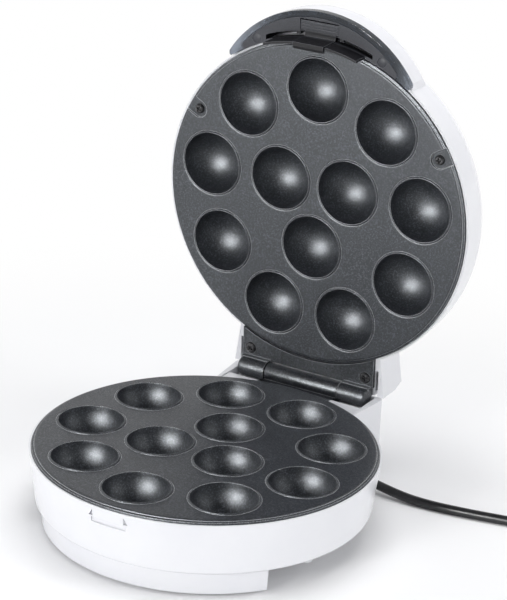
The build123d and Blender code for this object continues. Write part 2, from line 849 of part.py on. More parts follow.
save(bottom_cover, "bottom_cover")

with BuildPart() as rubber_feet:
    add(studs(base_plan, foot_spots, foot_radius, 0, foot_proud + foot_recess))
    chamfer(rubber_feet.edges().filter_by_position(Axis.Z, -0.1, 0.1), 0.8)
save(rubber_feet, "rubber_feet")
save(screws(base_plan, post_spots, cover_level), "cover_screws")

# mains terminal block on the floor of the plinth's rear part
terminal_y = tower_back - 21.2
terminal_count = 3
terminal_pitch = 9.0
terminal_floor = foot_proud + plinth_floor
terminal_xs = [terminal_pitch * (i - (terminal_count - 1) / 2) for i in range(terminal_count)]
with BuildPart() as terminal_block:
    half = terminal_pitch * terminal_count / 2
    deep = (terminal_y - 8, terminal_y + 8)
    add(box_between(base_plan, (-half, half), deep, (terminal_floor, terminal_floor + 8)))
    for x in terminal_xs:
        deep = (terminal_y - 6, terminal_y + 6)
        add(box_between(base_plan, (x - 3, x + 3), deep, (terminal_floor, terminal_floor + 13)))
    wells = [(x, terminal_y + y) for x in terminal_xs for y in (-3.5, 3.5)]
    add(studs(base_plan, wells, 1.8, terminal_floor + 8, terminal_floor + 14), mode=Mode.SUBTRACT)
save(terminal_block, "terminal_block")

# ================================================================ hinge
hinge_line = Vector(0, hinge_reach, hinge_height)
hinge_plane = Plane(origin=hinge_line, x_dir=(0, 1, 0), z_dir=(1, 0, 0))


def rod_along_hinge(radius, start, end):
    """A round body on the hinge line."""
    with BuildPart() as rod:
        with BuildSketch(hinge_plane.offset(start)):
            Circle(radius)
        extrude(amount=end - start)
    return rod.part


with BuildPart() as hinge_leaf:
    with BuildSketch(base_plan.offset(recess_floor)):
        with Locations((0, recess_back - part_gap)):
            Rectangle(2 * leaf_half, leaf_reach, align=(Align.CENTER, Align.MAX))
    extrude(amount=leaf_thickness)
    ramp = [(mouth_radius - 14, recess_floor), (mouth_radius - 14, leaf_ramp_top)]
    ramp += [(mouth_radius + 1, leaf_ramp_top), (leaf_ramp_end, leaf_ramp_top - leaf_ramp_fall)]
    ramp += [(leaf_ramp_end, recess_floor)]
    with BuildSketch(side_view(base_plan)):
        with BuildLine():
            Polyline(*ramp, close=True)
        make_face()
    extrude(amount=leaf_half, both=True)
    web = [(leaf_ramp_end - 1, recess_floor), (leaf_ramp_end - 1, leaf_ramp_top - leaf_ramp_fall)]
    web_back = hinge_reach + web_half
    web += [(hinge_reach - web_half, hinge_height - web_drop), (web_back, hinge_height - web_drop)]
    web += [(web_back, recess_floor)]
    with BuildSketch(side_view(base_plan)):
        with BuildLine():
            Polyline(*web, close=True)
        make_face()
    extrude(amount=barrel_half, both=True)
    add(rod_along_hinge(barrel_radius, -barrel_half, barrel_half))
    add(rod_along_hinge(pin_radius + running_fit, -barrel_half - 1, barrel_half + 1), mode=Mode.SUBTRACT)
    plate_room = studs(base_plan, [(0, 0)], mouth_radius + part_gap, recess_floor - 1, rim_height + 5)
    add(plate_room, mode=Mode.SUBTRACT)
    threads = studs(base_plan, leaf_screw_spots, hole_radius, recess_floor - 1, recess_floor + 6)
    add(threads, mode=Mode.SUBTRACT)
save(hinge_leaf, "hinge_leaf")
save(screws(base_plan, leaf_screw_spots, tower_inside_top, 8.0), "leaf_screws")

with BuildPart() as hinge_pin:
    add(rod_along_hinge(pin_radius, -pin_half, pin_half))
save(hinge_pin, "hinge_pin")


def knuckle(side):
    """One of the lid's two knuckles, closed and rounded at its outer end."""
    with BuildPart() as body:
        add(rod_along_hinge(knuckle_radius, *sorted((side * knuckle_start, side * knuckle_end))))
        ends = body.edges().sort_by(Axis.X)
        fillet(ends[-1] if side > 0 else ends[0], knuckle_round)
    return body.part


bracket_screw_spots = [(-bracket_screw_x, bracket_screw_y), (bracket_screw_x, bracket_screw_y)]
bracket_back = bracket_face + bracket_thickness
with BuildPart() as lid_bracket:
    with BuildSketch(lid_plan.offset(bracket_face)):
        with Locations((0, bracket_foot)):
            Rectangle(2 * bracket_half, bracket_reach, align=(Align.CENTER, Align.MAX))
        Circle(mouth_radius + 0.1, mode=Mode.SUBTRACT)
    extrude(amount=bracket_thickness)
    for side in (-1, 1):
        limits = sorted((side * knuckle_start, side * knuckle_end))
        add(box_between(lid_plan, limits, (bracket_foot - 1, hinge_reach), (-lid_rise, bracket_back - 0.3)))
        add(knuckle(side))
    add(rod_along_hinge(pin_radius, -pin_half, pin_half), mode=Mode.SUBTRACT)
    add(
        studs(
            lid_plan,
            bracket_screw_spots,
            head_radius + part_gap,
            bracket_face - 1,
            bracket_face + bracket_sink,
        ),
        mode=Mode.SUBTRACT,
    )
    add(studs(lid_plan, bracket_screw_spots, clear_radius, 0, bracket_back + 1), mode=Mode.SUBTRACT)
save(lid_bracket, "lid_bracket")
save(screws(lid_plan, bracket_screw_spots, bracket_face + bracket_sink), "bracket_screws")

# ================================================================ lid housing
lid_inner_wall = lid_wall_radius - wall
shoulder_centre = (lid_wall_radius - lid_shoulder, lid_wall_top)


def lid_form(inset, foot):
    """The lid's drum with its rounded shoulder and slightly domed top, drawn inwards by the inset."""
    bend = lid_shoulder - inset
    edge = (shoulder_centre[0], lid_wall_top + bend)
    with BuildPart() as form:
        with BuildSketch(upright(lid_plan)):
            with BuildLine():
                Polyline((0, lid_height - inset), (0, foot), (rim_radius - inset, foot))
                Line((rim_radius - inset, foot), (lid_wall_radius - inset, lid_wall_top))
                CenterArc(shoulder_centre, bend, 0, 90)
                middle = (edge[0] / 2, edge[1] + dome_rise * 0.75)
                ThreePointArc(edge, middle, (0, lid_height - inset))
            make_face()
        revolve(axis=axis_of(lid_plan))
    return form.part


def handle_plan(radius, tip, inner):
    """Crescent between the handle's arc and the drum of the lid."""
    with BuildSketch() as plan:
        with Locations((0, -handle_offset)):
            Circle(radius)
        Circle(inner, mode=Mode.SUBTRACT)
        with Locations((0, -handle_offset - radius)):
            Rectangle(2 * tip, 2 * radius, mode=Mode.INTERSECT)
    return plan.sketch


def handle_shell(inset, foot, inner):
    """The white upper part of the handle, rounded over its outer edge."""
    with BuildPart() as shell:
        with BuildSketch(upright(lid_plan_at(0, -handle_offset))):
            with BuildLine():
                outside = shell_radius - inset
                bend = handle_round - inset
                top = handle_top - inset
                Polyline((0, top), (0, foot), (outside, foot), (outside, top - bend))
                CenterArc((outside - bend, top - bend), bend, 0, 90)
                Line((outside - bend, top), (0, top))
            make_face()
        revolve(axis=axis_of(lid_plan_at(0, -handle_offset)))
        plan = handle_plan(shell_radius - inset, shell_tip - inset, inner)
        outline = lid_plan.offset(foot).from_local_coords(plan)
        extrude(to_extrude=outline, amount=handle_top, dir=lid_plan.z_dir, mode=Mode.INTERSECT)
    return shell.part


handle_screw_spots = [(-handle_screw_x, handle_screw_y), (handle_screw_x, handle_screw_y)]
lamp_spots = [(-lamp_x, lamp_y), (lamp_x, lamp_y)]
block_side = (block_back_half - block_front_half) / (block_back - block_front)


def lid_block(inset, front, foot):
    """Hinge block behind the lid's drum, its upper rear edge sloped, drawn inwards by the inset."""
    front_half = block_front_half + block_side * (front - block_front) - inset
    back_half = block_back_half - inset
    back = block_back - inset
    top = block_top - inset
    outline = [(-front_half, front), (front_half, front), (back_half, back), (-back_half, back)]
    with BuildPart() as body:
        add(block(lid_plan, outline, foot, top))
        with BuildSketch(side_view(lid_plan)):
            with BuildLine():
                Polyline(
                    (front, foot),
                    (back, foot),
                    (back, top - block_slope),
                    (back - block_slope_back, top),
                    (front, top),
                    close=True,
                )
            make_face()
        extrude(amount=block_back, both=True, mode=Mode.INTERSECT)
    return body.part


lid_ledge = flange_depth  # the flange of the upper plate rests this high in the lid
lid_inside_foot = lid_ledge + ledge_thickness
with BuildPart() as lid_inside:
    add(lid_form(wall, lid_inside_foot))
    add(studs(lid_plan, ear_spots, ear_post, plate_back, lid_height), mode=Mode.SUBTRACT)
with BuildPart() as handle_inside:
    add(handle_shell(handle_wall, handle_underside - 1, lid_wall_radius + 0.5))
    add(studs(lid_plan, handle_screw_spots, handle_post, handle_underside, handle_top), mode=Mode.SUBTRACT)
with BuildPart() as ear_posts:
    add(lid_form(0.5, lid_rim))
    add(studs(lid_plan, ear_spots, ear_post, plate_back, lid_height), mode=Mode.INTERSECT)

with BuildPart() as lid_housing:
    add(lid_form(0, lid_rim))
    add(lid_block(0, block_front, lid_rim))
    add(handle_shell(0, handle_underside, lid_wall_radius - 1))
    add(handle_inside.part, mode=Mode.SUBTRACT)
    add(lid_inside.part, mode=Mode.SUBTRACT)
    add(lid_block(wall, block_front - 4, bracket_back + wall), mode=Mode.SUBTRACT)
    add(studs(lid_plan, [(0, 0)], ledge_radius, lid_rim - 1, lid_inside_foot + 1), mode=Mode.SUBTRACT)
    add(studs(lid_plan, [(0, 0)], mouth_radius, lid_rim - 1, lid_ledge), mode=Mode.SUBTRACT)
    add(ear_posts.part)
    with BuildSketch(lid_plan.offset(lid_rim - 1)):
        with Locations((0, block_back + 1)):
            Rectangle(2 * (bracket_half + part_gap), block_back / 3, align=(Align.CENTER, Align.MAX))
        Circle(mouth_radius, mode=Mode.SUBTRACT)
    extrude(amount=bracket_back - lid_rim + 1, mode=Mode.SUBTRACT)
    for side in (-1, 1):
        edge = side * (bracket_half + part_gap)
        slot = sorted((edge, edge + side * slot_width))
        add(
            box_between(lid_plan, slot, (slot_front, block_back + 1), (lid_rim - 1, lid_rim + slot_depth)),
            mode=Mode.SUBTRACT,
        )
    add(studs(lid_plan, bracket_screw_spots, bracket_post, bracket_back, bracket_back + 12))
    for spots, seat, deep in (
        (bracket_screw_spots, bracket_back, 10),
        (ear_spots, plate_back, 14),
        (handle_screw_spots, handle_underside, 11),
    ):
        add(studs(lid_plan, spots, hole_radius, seat - 1, seat + deep), mode=Mode.SUBTRACT)
    add(studs(lid_plan, lamp_spots, lamp_radius, lid_height - 10, lid_height + 1), mode=Mode.SUBTRACT)
save(lid_housing, "lid_housing")

# signal lamps let into the top of the lid
lamp_top = lid_height - 2.6


def lamp(x):
    with BuildPart() as lens:
        with BuildSketch(upright(lid_plan_at(x, lamp_y))):
            with BuildLine():
                Polyline(
                    (0, lamp_top),
                    (0, lamp_top - lamp_length),
                    (lamp_radius + 1, lamp_top - lamp_length),
                    (lamp_radius + 1, lamp_top - lamp_length + 1.1),
                    (lamp_radius - running_fit, lamp_top - lamp_length + 1.1),
                    (lamp_radius - running_fit, lamp_top - 0.9),
                    (lamp_radius - 1.2, lamp_top),
                    close=True,
                )
            make_face()
        revolve(axis=axis_of(lid_plan_at(x, lamp_y)))
    return lens


save(lamp(-lamp_x), "power_lamp")
save(lamp(lamp_x), "ready_lamp")

# ================================================================ handle below its white shell


def grip_plan(gap):
    """Plan of the dark grip inside the visor, grown by the gap."""
    with BuildSketch() as plan:
        add(handle_plan(grip_radius + gap, grip_half + gap, rim_radius + handle_gap))
        fillet(plan.vertices(), grip_round)
    return plan.sketch


def pocket_plan(grow):
    """Plan of the finger pocket between the skirt and the grip."""
    with BuildSketch() as plan:
        with Locations((0, -pocket_centre)):
            Circle(pocket_radius + grow)
        Circle(rim_radius + handle_gap + skirt_thickness, mode=Mode.SUBTRACT)
        with Locations((0, -pocket_centre - pocket_radius)):
            Rectangle(2 * (pocket_half + grow), 2 * (pocket_radius - rim_radius / 2), mode=Mode.INTERSECT)
    return plan.sketch


def slab(plan, start, end):
    """A sketch of the lid's plan made into a plate between two heights."""
    with BuildPart() as plate:
        outline = lid_plan.offset(start).from_local_coords(plan)
        extrude(to_extrude=outline, amount=end - start, dir=lid_plan.z_dir)
    return plate.part


def rod_across(y, height, radius, half):
    """A round bar parallel to the hinge, in the lid."""
    with BuildPart() as bar:
        with BuildSketch(side_view(lid_plan)):
            with Locations((y, height)):
                Circle(radius)
        extrude(amount=half, both=True)
    return bar.part


with BuildPart() as handle_visor:
    add(slab(handle_plan(visor_radius, visor_tip, rim_radius + handle_gap), 0, handle_underside))
    tips = handle_visor.edges().filter_by(axis_of(lid_plan))
    fillet(tips, visor_tip_round)
    add(slab(grip_plan(0.25), -1, handle_underside + 1), mode=Mode.SUBTRACT)
save(handle_visor, "handle_visor")

skirt_outside = rim_radius + handle_gap + skirt_thickness
stem_slot = latch_half + latch_gap
pad_slot = pad_half + latch_gap
with BuildPart() as handle_grip:
    add(slab(grip_plan(0), 0, handle_underside))
    add(slab(pocket_plan(pocket_wall), handle_underside, pocket_depth + pocket_wall))
    with BuildSketch(lid_plan.offset(-skirt_drop)):
        Circle(skirt_outside)
        Circle(rim_radius + handle_gap, mode=Mode.SUBTRACT)
        with Locations((0, -rim_radius)):
            Rectangle(2 * skirt_half, rim_radius, mode=Mode.INTERSECT)
    extrude(amount=skirt_drop + handle_underside)
    add(slab(pocket_plan(0), -1, pocket_depth), mode=Mode.SUBTRACT)
    stem_window = ((-stem_slot, stem_slot), (-pad_back, -rim_radius + 3), (-skirt_drop - 1, pocket_depth))
    add(box_between(lid_plan, *stem_window), mode=Mode.SUBTRACT)
    pad_window = ((-pad_slot, pad_slot), (-pad_front - pad_end_gap, -pad_back + 1), (-1, pocket_depth - 3))
    add(box_between(lid_plan, *pad_window), mode=Mode.SUBTRACT)
    for side in (-1, 1):
        limits = sorted((side * cheek_start, side * cheek_end))
        add(box_between(lid_plan, limits, (-pivot_y - 2.6, -pivot_y + 2.6), (1.4, cheek_top)))
    add(rod_across(-pivot_y, pivot_height, latch_pin_radius, cheek_end + 1), mode=Mode.SUBTRACT)
    add(studs(lid_plan, handle_screw_spots, handle_head + part_gap, -1, handle_seat), mode=Mode.SUBTRACT)
    add(studs(lid_plan, handle_screw_spots, clear_radius, 0, handle_underside + 1), mode=Mode.SUBTRACT)
save(handle_grip, "handle_grip")
save(screws(lid_plan, handle_screw_spots, handle_seat, head=handle_head), "handle_screws")

with BuildPart() as latch_pin:
    add(rod_across(-pivot_y, pivot_height, latch_pin_radius, cheek_end))
save(latch_pin, "latch_pin")

with BuildPart() as latch_lever:
    with BuildSketch(side_view(lid_plan)):
        with BuildLine():
            Polyline(
                (-claw_tip, -claw_top),
                (-claw_tip, -claw_top - 0.8),
                (-claw_tip - 2.0, -latch_drop),
                (-stem_front, -latch_drop),
                (-stem_front, 1.4),
                (-pad_back, pivot_height - pivot_boss + 0.2),
                (-pad_back, pad_face + pad_thickness),
                (-pivot_y - 1.5, pivot_height + 1.4),
                (-stem_back, pivot_height),
                (-stem_back, -claw_top),
                close=True,
            )
        make_face()
    extrude(amount=latch_half, both=True)
    add(rod_across(-pivot_y, pivot_height, pivot_boss, latch_half))
    pad_deep = (-pad_front, -pad_back + 0.6)
    add(box_between(lid_plan, (-pad_half, pad_half), pad_deep, (pad_face, pad_face + pad_thickness)))
    for i in range(rib_count):
        rib_y = -(pad_back + pad_front) / 2 + rib_pitch * (i - (rib_count - 1) / 2)
        rib = (rib_y - rib_width / 2, rib_y + rib_width / 2)
        rib_high = (pad_face - rib_height, pad_face + 0.1)
        add(box_between(lid_plan, (-pad_half + 1, pad_half - 1), rib, rib_high))
    bore = rod_across(-pivot_y, pivot_height, latch_pin_radius + running_fit, latch_half + 1)
    add(bore, mode=Mode.SUBTRACT)
save(latch_lever, "latch_lever")

with BuildPart() as latch_spring:
    spring_top = handle_top - handle_wall
    with BuildSketch(side_view(lid_plan)):
        with BuildLine() as strip:
            FilletPolyline(
                (-pivot_y - 2.0, spring_top - spring_thickness / 2),
                (-pivot_y - 6.5, spring_top - spring_thickness / 2),
                (-pivot_y - 4.4, 9.3),
                (1.0 - pivot_y, pivot_height + pivot_boss + part_gap + 0.05),
                radius=1.2,
            )
        trace(line_width=spring_thickness)
    extrude(amount=spring_half, both=True)
save(latch_spring, "latch_spring")

# ================================================================ mains lead
cord_radius = cord_diameter / 2
with BuildPart() as strain_relief:
    relief_start = exit_spot - exit_way * relief_inside
    with BuildSketch(Plane(origin=relief_start, z_dir=exit_way)):
        Circle(relief_large / 2)
    with BuildSketch(Plane(origin=exit_spot, z_dir=exit_way)):
        Circle(relief_large / 2)
    loft()
    with BuildSketch(Plane(origin=exit_spot, z_dir=exit_way)):
        Circle(relief_large / 2)
    with BuildSketch(Plane(origin=route[0], z_dir=exit_way)):
        Circle(relief_small / 2)
    loft()
save(strain_relief, "strain_relief")


def fillet_radius(before, corner, after):
    """Bend radius that uses just under half of the shorter run at a corner."""
    into = corner - before
    out = after - corner
    turn = acos(max(-1.0, min(1.0, into.normalized().dot(out.normalized()))))
    return 0.45 * min(into.length, out.length) / tan(turn / 2)


bends = [fillet_radius(a, b, c) for a, b, c in zip(route, route[1:], route[2:])]
with BuildPart() as power_cord:
    with BuildLine() as lead:
        FilletPolyline(*route, radius=bends)
    with BuildSketch(Plane(origin=route[0], z_dir=route[1] - route[0])):
        Circle(cord_radius)
    sweep(path=lead.wires()[0])
save(power_cord, "power_cord")
lead_length = lead.wires()[0].length
print("lead bends", [round(bend, 1) for bend in bends], "length", round(lead_length, 1))
print("lead volume share", power_cord.part.volume / (lead_length * pi * cord_radius**2))

# the rest of the lead lies wound up beyond the table's visible part
coil_outside = coil_diameter / 2 + coil_pitch * (coil_turns / 4)
coil_entry = (route[-1] - route[-2]).normalized()
coil_first_angle = degrees(atan2(coil_entry.Y, coil_entry.X)) - 90
coil_gate = route[-1] + coil_entry * coil_straight
coil_centre = coil_gate - Vector(*polar(coil_outside, coil_first_angle), 0)


def coil_point(turn):
    """Middle of the wound lead after so many turns: inwards, up one layer, then outwards."""
    turning = coil_first_climb + coil_climb / 2
    inwards = turn if turn < turning else 2 * turning - turn
    rise = min(max((turn - coil_first_climb) / coil_climb, 0), 1)
    x, y = polar(coil_outside - coil_pitch * inwards, coil_first_angle + 360 * turn)
    return coil_centre + Vector(x, y, coil_layers_apart * rise)


def coil_heading(turn):
    """Direction of the lead there; level and square to the radius at both ends."""
    if turn in (0, coil_turns):
        return Vector(*polar(1, coil_first_angle + 360 * turn + 90), 0)
    return (coil_point(turn + 0.002) - coil_point(turn - 0.002)).normalized()


def arc_between(start, heading, end):
    """The circular arc that leaves the start in the given direction and reaches the end."""
    chord = end - start
    along = chord.normalized()
    across = heading - along * heading.dot(along)
    if across.length < 1e-6:
        return Line(start, end)
    bend = acos(max(-1.0, min(1.0, heading.dot(along))))
    rise = across.normalized() * (chord.length / 2 * tan(bend / 2))
    return ThreePointArc(start, start + chord / 2 + rise, end)


def add_arcs(start, start_heading, end, end_heading):
    """Draw the two arcs between two points of the wound lead."""
    span = end - start
    both = start_heading + end_heading
    share = 2 * (1 - start_heading.dot(end_heading))
    reach = span.dot(both)
    if share < 1e-9:
        handle = span.dot(span) / (2 * reach)
    else:
        handle = (sqrt(reach**2 + share * span.dot(span)) - reach) / share
    joint = (start + end + (start_heading - end_heading) * handle) / 2
    return [arc_between(start, start_heading, joint), arc_between(end, -end_heading, joint)]


coil_exit = coil_point(coil_turns)
exit_heading = coil_heading(coil_turns)
plug_start = coil_exit + exit_heading * tail_length
plug_start = Vector(plug_start.X, plug_start.Y, plug_radius)
with BuildPart() as cord_coil:
    with BuildLine() as winding:
        Line(route[-1], coil_gate)
        turns = [coil_turns * i / coil_arcs for i in range(coil_arcs + 1)]
        for here, there in zip(turns, turns[1:]):
            add_arcs(coil_point(here), coil_heading(here), coil_point(there), coil_heading(there))
        add_arcs(coil_exit, exit_heading, plug_start - exit_heading * coil_straight, exit_heading)
        Line(plug_start - exit_heading * coil_straight, plug_start)
    with BuildSketch(Plane(origin=route[-1], z_dir=coil_entry)):
        Circle(cord_radius)
    sweep(path=winding.wires()[0])
save(cord_coil, "cord_coil")
coil_wire = winding.wires()[0]
coil_length = coil_wire.length
samples = 400
places = [coil_wire.position_at(i / samples) for i in range(samples + 1)]
apart = int(8 * cord_diameter / coil_length * samples)
gap = min((a - b).length for i, a in enumerate(places) for b in places[i + apart :]) - cord_diameter
print("coil length", round(coil_length, 1), "least gap to itself", round(gap, 2))
print("coil volume share", cord_coil.part.volume / (coil_length * pi * cord_radius**2))
print("whole lead", round(relief_inside + relief_outside + lead_length + coil_length, 1))

plug_plane = Plane(origin=plug_start, x_dir=(0, 0, 1), z_dir=exit_heading)
with BuildPart() as plug_body:
    with BuildSketch(upright(plug_plane)):
        with BuildLine():
            Polyline(
                (0, 0),
                (plug_neck - 0.8, 0),
                (plug_neck, plug_neck_length),
                (plug_radius * 0.62, plug_neck_length + 6),
                (plug_radius * 0.92, plug_neck_length + plug_length * 0.5),
                (plug_radius * 0.92, plug_neck_length + plug_length - 6),
                (plug_radius, plug_neck_length + plug_length - 5),
                (plug_radius, plug_neck_length + plug_length),
                (0, plug_neck_length + plug_length),
                close=True,
            )
        make_face()
    revolve(axis=axis_of(plug_plane))
    face_height = plug_neck_length + plug_length
    # the earth clips lie in two notches at the plug's edge
    for side in (-1, 1):
        notch = sorted((side * (plug_radius - 3), side * (plug_radius + 1)))
        add(
            box_between(plug_plane, notch, (-3.2, 3.2), (face_height - 12, face_height + 1)),
            mode=Mode.SUBTRACT,
        )
save(plug_body, "plug_body")

with BuildPart() as plug_pins:
    pin_spots = [(0, plug_pin_spacing / 2), (0, -plug_pin_spacing / 2)]
    add(studs(plug_plane, pin_spots, plug_pin_radius, face_height, face_height + plug_pin_length))
    tips = plug_pins.edges().group_by(axis_of(plug_plane))[-1]
    fillet(tips, 1.6)
save(plug_pins, "plug_pins")

with BuildPart() as earth_clips:
    for side in (-1, 1):
        foot = sorted((side * (plug_radius - 3), side * (plug_radius - 2.2)))
        add(box_between(plug_plane, foot, (-2, 2), (face_height - 12, face_height - 0.5)))
save(earth_clips, "earth_clips")
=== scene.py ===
"""Looks of the cake pop maker: camera, mains lead, materials, plates, hinge, small hardware and studio."""

import json
from math import atan2, cos, pi, radians, sin

import bmesh
import bpy
from mathutils import Matrix, Vector


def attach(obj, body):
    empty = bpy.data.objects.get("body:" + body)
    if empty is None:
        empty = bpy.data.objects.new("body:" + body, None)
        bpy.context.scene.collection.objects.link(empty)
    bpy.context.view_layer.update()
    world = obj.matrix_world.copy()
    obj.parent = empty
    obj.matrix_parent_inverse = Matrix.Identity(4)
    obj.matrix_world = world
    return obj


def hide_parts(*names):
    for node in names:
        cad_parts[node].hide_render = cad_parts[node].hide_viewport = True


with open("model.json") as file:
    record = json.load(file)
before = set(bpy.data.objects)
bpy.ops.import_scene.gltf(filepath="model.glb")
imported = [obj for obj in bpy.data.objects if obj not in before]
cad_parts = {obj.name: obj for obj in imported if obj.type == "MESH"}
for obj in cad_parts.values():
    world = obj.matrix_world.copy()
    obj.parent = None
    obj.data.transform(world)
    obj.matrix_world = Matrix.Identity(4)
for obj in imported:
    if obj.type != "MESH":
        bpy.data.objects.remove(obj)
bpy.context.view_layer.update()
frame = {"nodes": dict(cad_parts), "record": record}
nodes = frame["nodes"]
scene = bpy.context.scene
scene.view_settings.view_transform = "Standard"


# ---------------------------------------------------------------- camera
camera_turn = radians(29.893)
camera_rise = radians(21.392)
camera_roll = radians(2.578)
camera_reach = 1421.775
camera_aim = Vector((0, 20, 112))
camera_side = 15.632
camera_lift = 23.054

towards_camera = Vector(
    (
        sin(camera_turn) * cos(camera_rise),
        -cos(camera_turn) * cos(camera_rise),
        sin(camera_rise),
    )
)
level_right = Vector((cos(camera_turn), sin(camera_turn), 0))
level_up = towards_camera.cross(level_right)
camera_right = level_right * cos(camera_roll) + level_up * sin(camera_roll)
camera_up = level_up * cos(camera_roll) - level_right * sin(camera_roll)
camera_spot = camera_aim + camera_right * camera_side + camera_up * camera_lift
camera_spot += towards_camera * camera_reach

lens = bpy.data.cameras.new("view")
lens.lens = 143.38
lens.sensor_width = 36
lens.clip_start = 0.05
lens.clip_end = 60
camera = bpy.data.objects.new("view", lens)
scene.collection.objects.link(camera)
turn = Matrix((camera_right, camera_up, towards_camera)).transposed().to_4x4()
camera.matrix_world = Matrix.Translation(camera_spot / 1000) @ turn
scene.camera = camera

# ---------------------------------------------------------------- mains lead
lead_diameter = 5.8
lead_route = [
    (67.6, 94.7, 6.0),
    (84.0, 92.6, 4.2),
    (102.0, 93.4, 2.9),
    (122.0, 95.6, 2.9),
    (146.0, 100.3, 2.9),
    (172.0, 106.2, 2.9),
    (200.0, 111.6, 2.9),
]
coil_turns = 2.25
coil_steps = 18  # points for each turn
coil_diameter = 64.0
coil_pitch = 7.0
coil_straight = 6.0
coil_first_climb = 0.75
coil_climb = 0.5
tail_length = 54.0
tail_rises = [(16.0, 0.6), (34.0, 7.0)]  # distance along the tail, height over the coil's end
plug_radius = 18.5

coil_outside = coil_diameter / 2 + coil_pitch * coil_turns / 4
route_end = Vector(lead_route[-1])
coil_entry = (route_end - Vector(lead_route[-2])).normalized()
coil_first_angle = atan2(coil_entry.y, coil_entry.x) - pi / 2
coil_gate = route_end + coil_entry * coil_straight
coil_out = Vector((cos(coil_first_angle), sin(coil_first_angle), 0))
coil_centre = coil_gate - coil_out * coil_outside


def coil_point(turned):
    """Middle of the wound lead after so many turns: inwards, up one layer, then outwards."""
    turning = coil_first_climb + coil_climb / 2
    inwards = turned if turned < turning else 2 * turning - turned
    rise = min(max((turned - coil_first_climb) / coil_climb, 0), 1)
    radius = coil_outside - coil_pitch * inwards
    angle = coil_first_angle + 2 * pi * turned
    return coil_centre + Vector((radius * cos(angle), radius * sin(angle), coil_pitch * rise))


lead_line = [Vector(spot) for spot in lead_route] + [coil_gate]
coil_count = int(coil_turns * coil_steps)
for step in range(1, coil_count + 1):
    lead_line.append(coil_point(coil_turns * step / coil_count))
exit_angle = coil_first_angle + 2 * pi * coil_turns + pi / 2
tail_way = Vector((cos(exit_angle), sin(exit_angle), 0))
tail_start = coil_point(coil_turns)
plug_start = tail_start + tail_way * tail_length
plug_start.z = plug_radius
for reach, rise in tail_rises:
    lead_line.append(tail_start + tail_way * reach + Vector((0, 0, rise)))
lead_line += [plug_start - tail_way * coil_straight, plug_start]

curve = bpy.data.curves.new("mains_lead", "CURVE")
curve.dimensions = "3D"
curve.bevel_depth = 1.0
curve.bevel_resolution = 6
curve.use_fill_caps = True
spline = curve.splines.new("NURBS")
spline.points.add(len(lead_line) - 1)
for point, spot in zip(spline.points, lead_line):
    point.co = (*(spot / 1000), 1)
    point.radius = lead_diameter / 2000
spline.order_u = 3
spline.use_endpoint_u = True
spline.resolution_u = 8
mains_lead = bpy.data.objects.new("mains_lead", curve)
scene.collection.objects.link(mains_lead)
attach(mains_lead, "base")
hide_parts("power_cord", "cord_coil")

# ---------------------------------------------------------------- reference plane of the open lid
hinge_y = 118.05
hinge_z = 50.4
lid_rise = 2.6
open_angle = radians(88.3)
lid_origin = Vector(
    (
        0,
        hinge_y - hinge_y * cos(open_angle) + lid_rise * sin(open_angle),
        hinge_z + hinge_y * sin(open_angle) + lid_rise * cos(open_angle),
    )
)
lid_up = Vector((0, sin(open_angle), cos(open_angle)))
lid_back = lid_up.cross(Vector((1, 0, 0)))
lid_axes = Matrix((Vector((1, 0, 0)), lid_back, lid_up)).transposed()
lid_frame = Matrix.Translation(lid_origin) @ lid_axes.to_4x4()

# ---------------------------------------------------------------- node helpers for materials


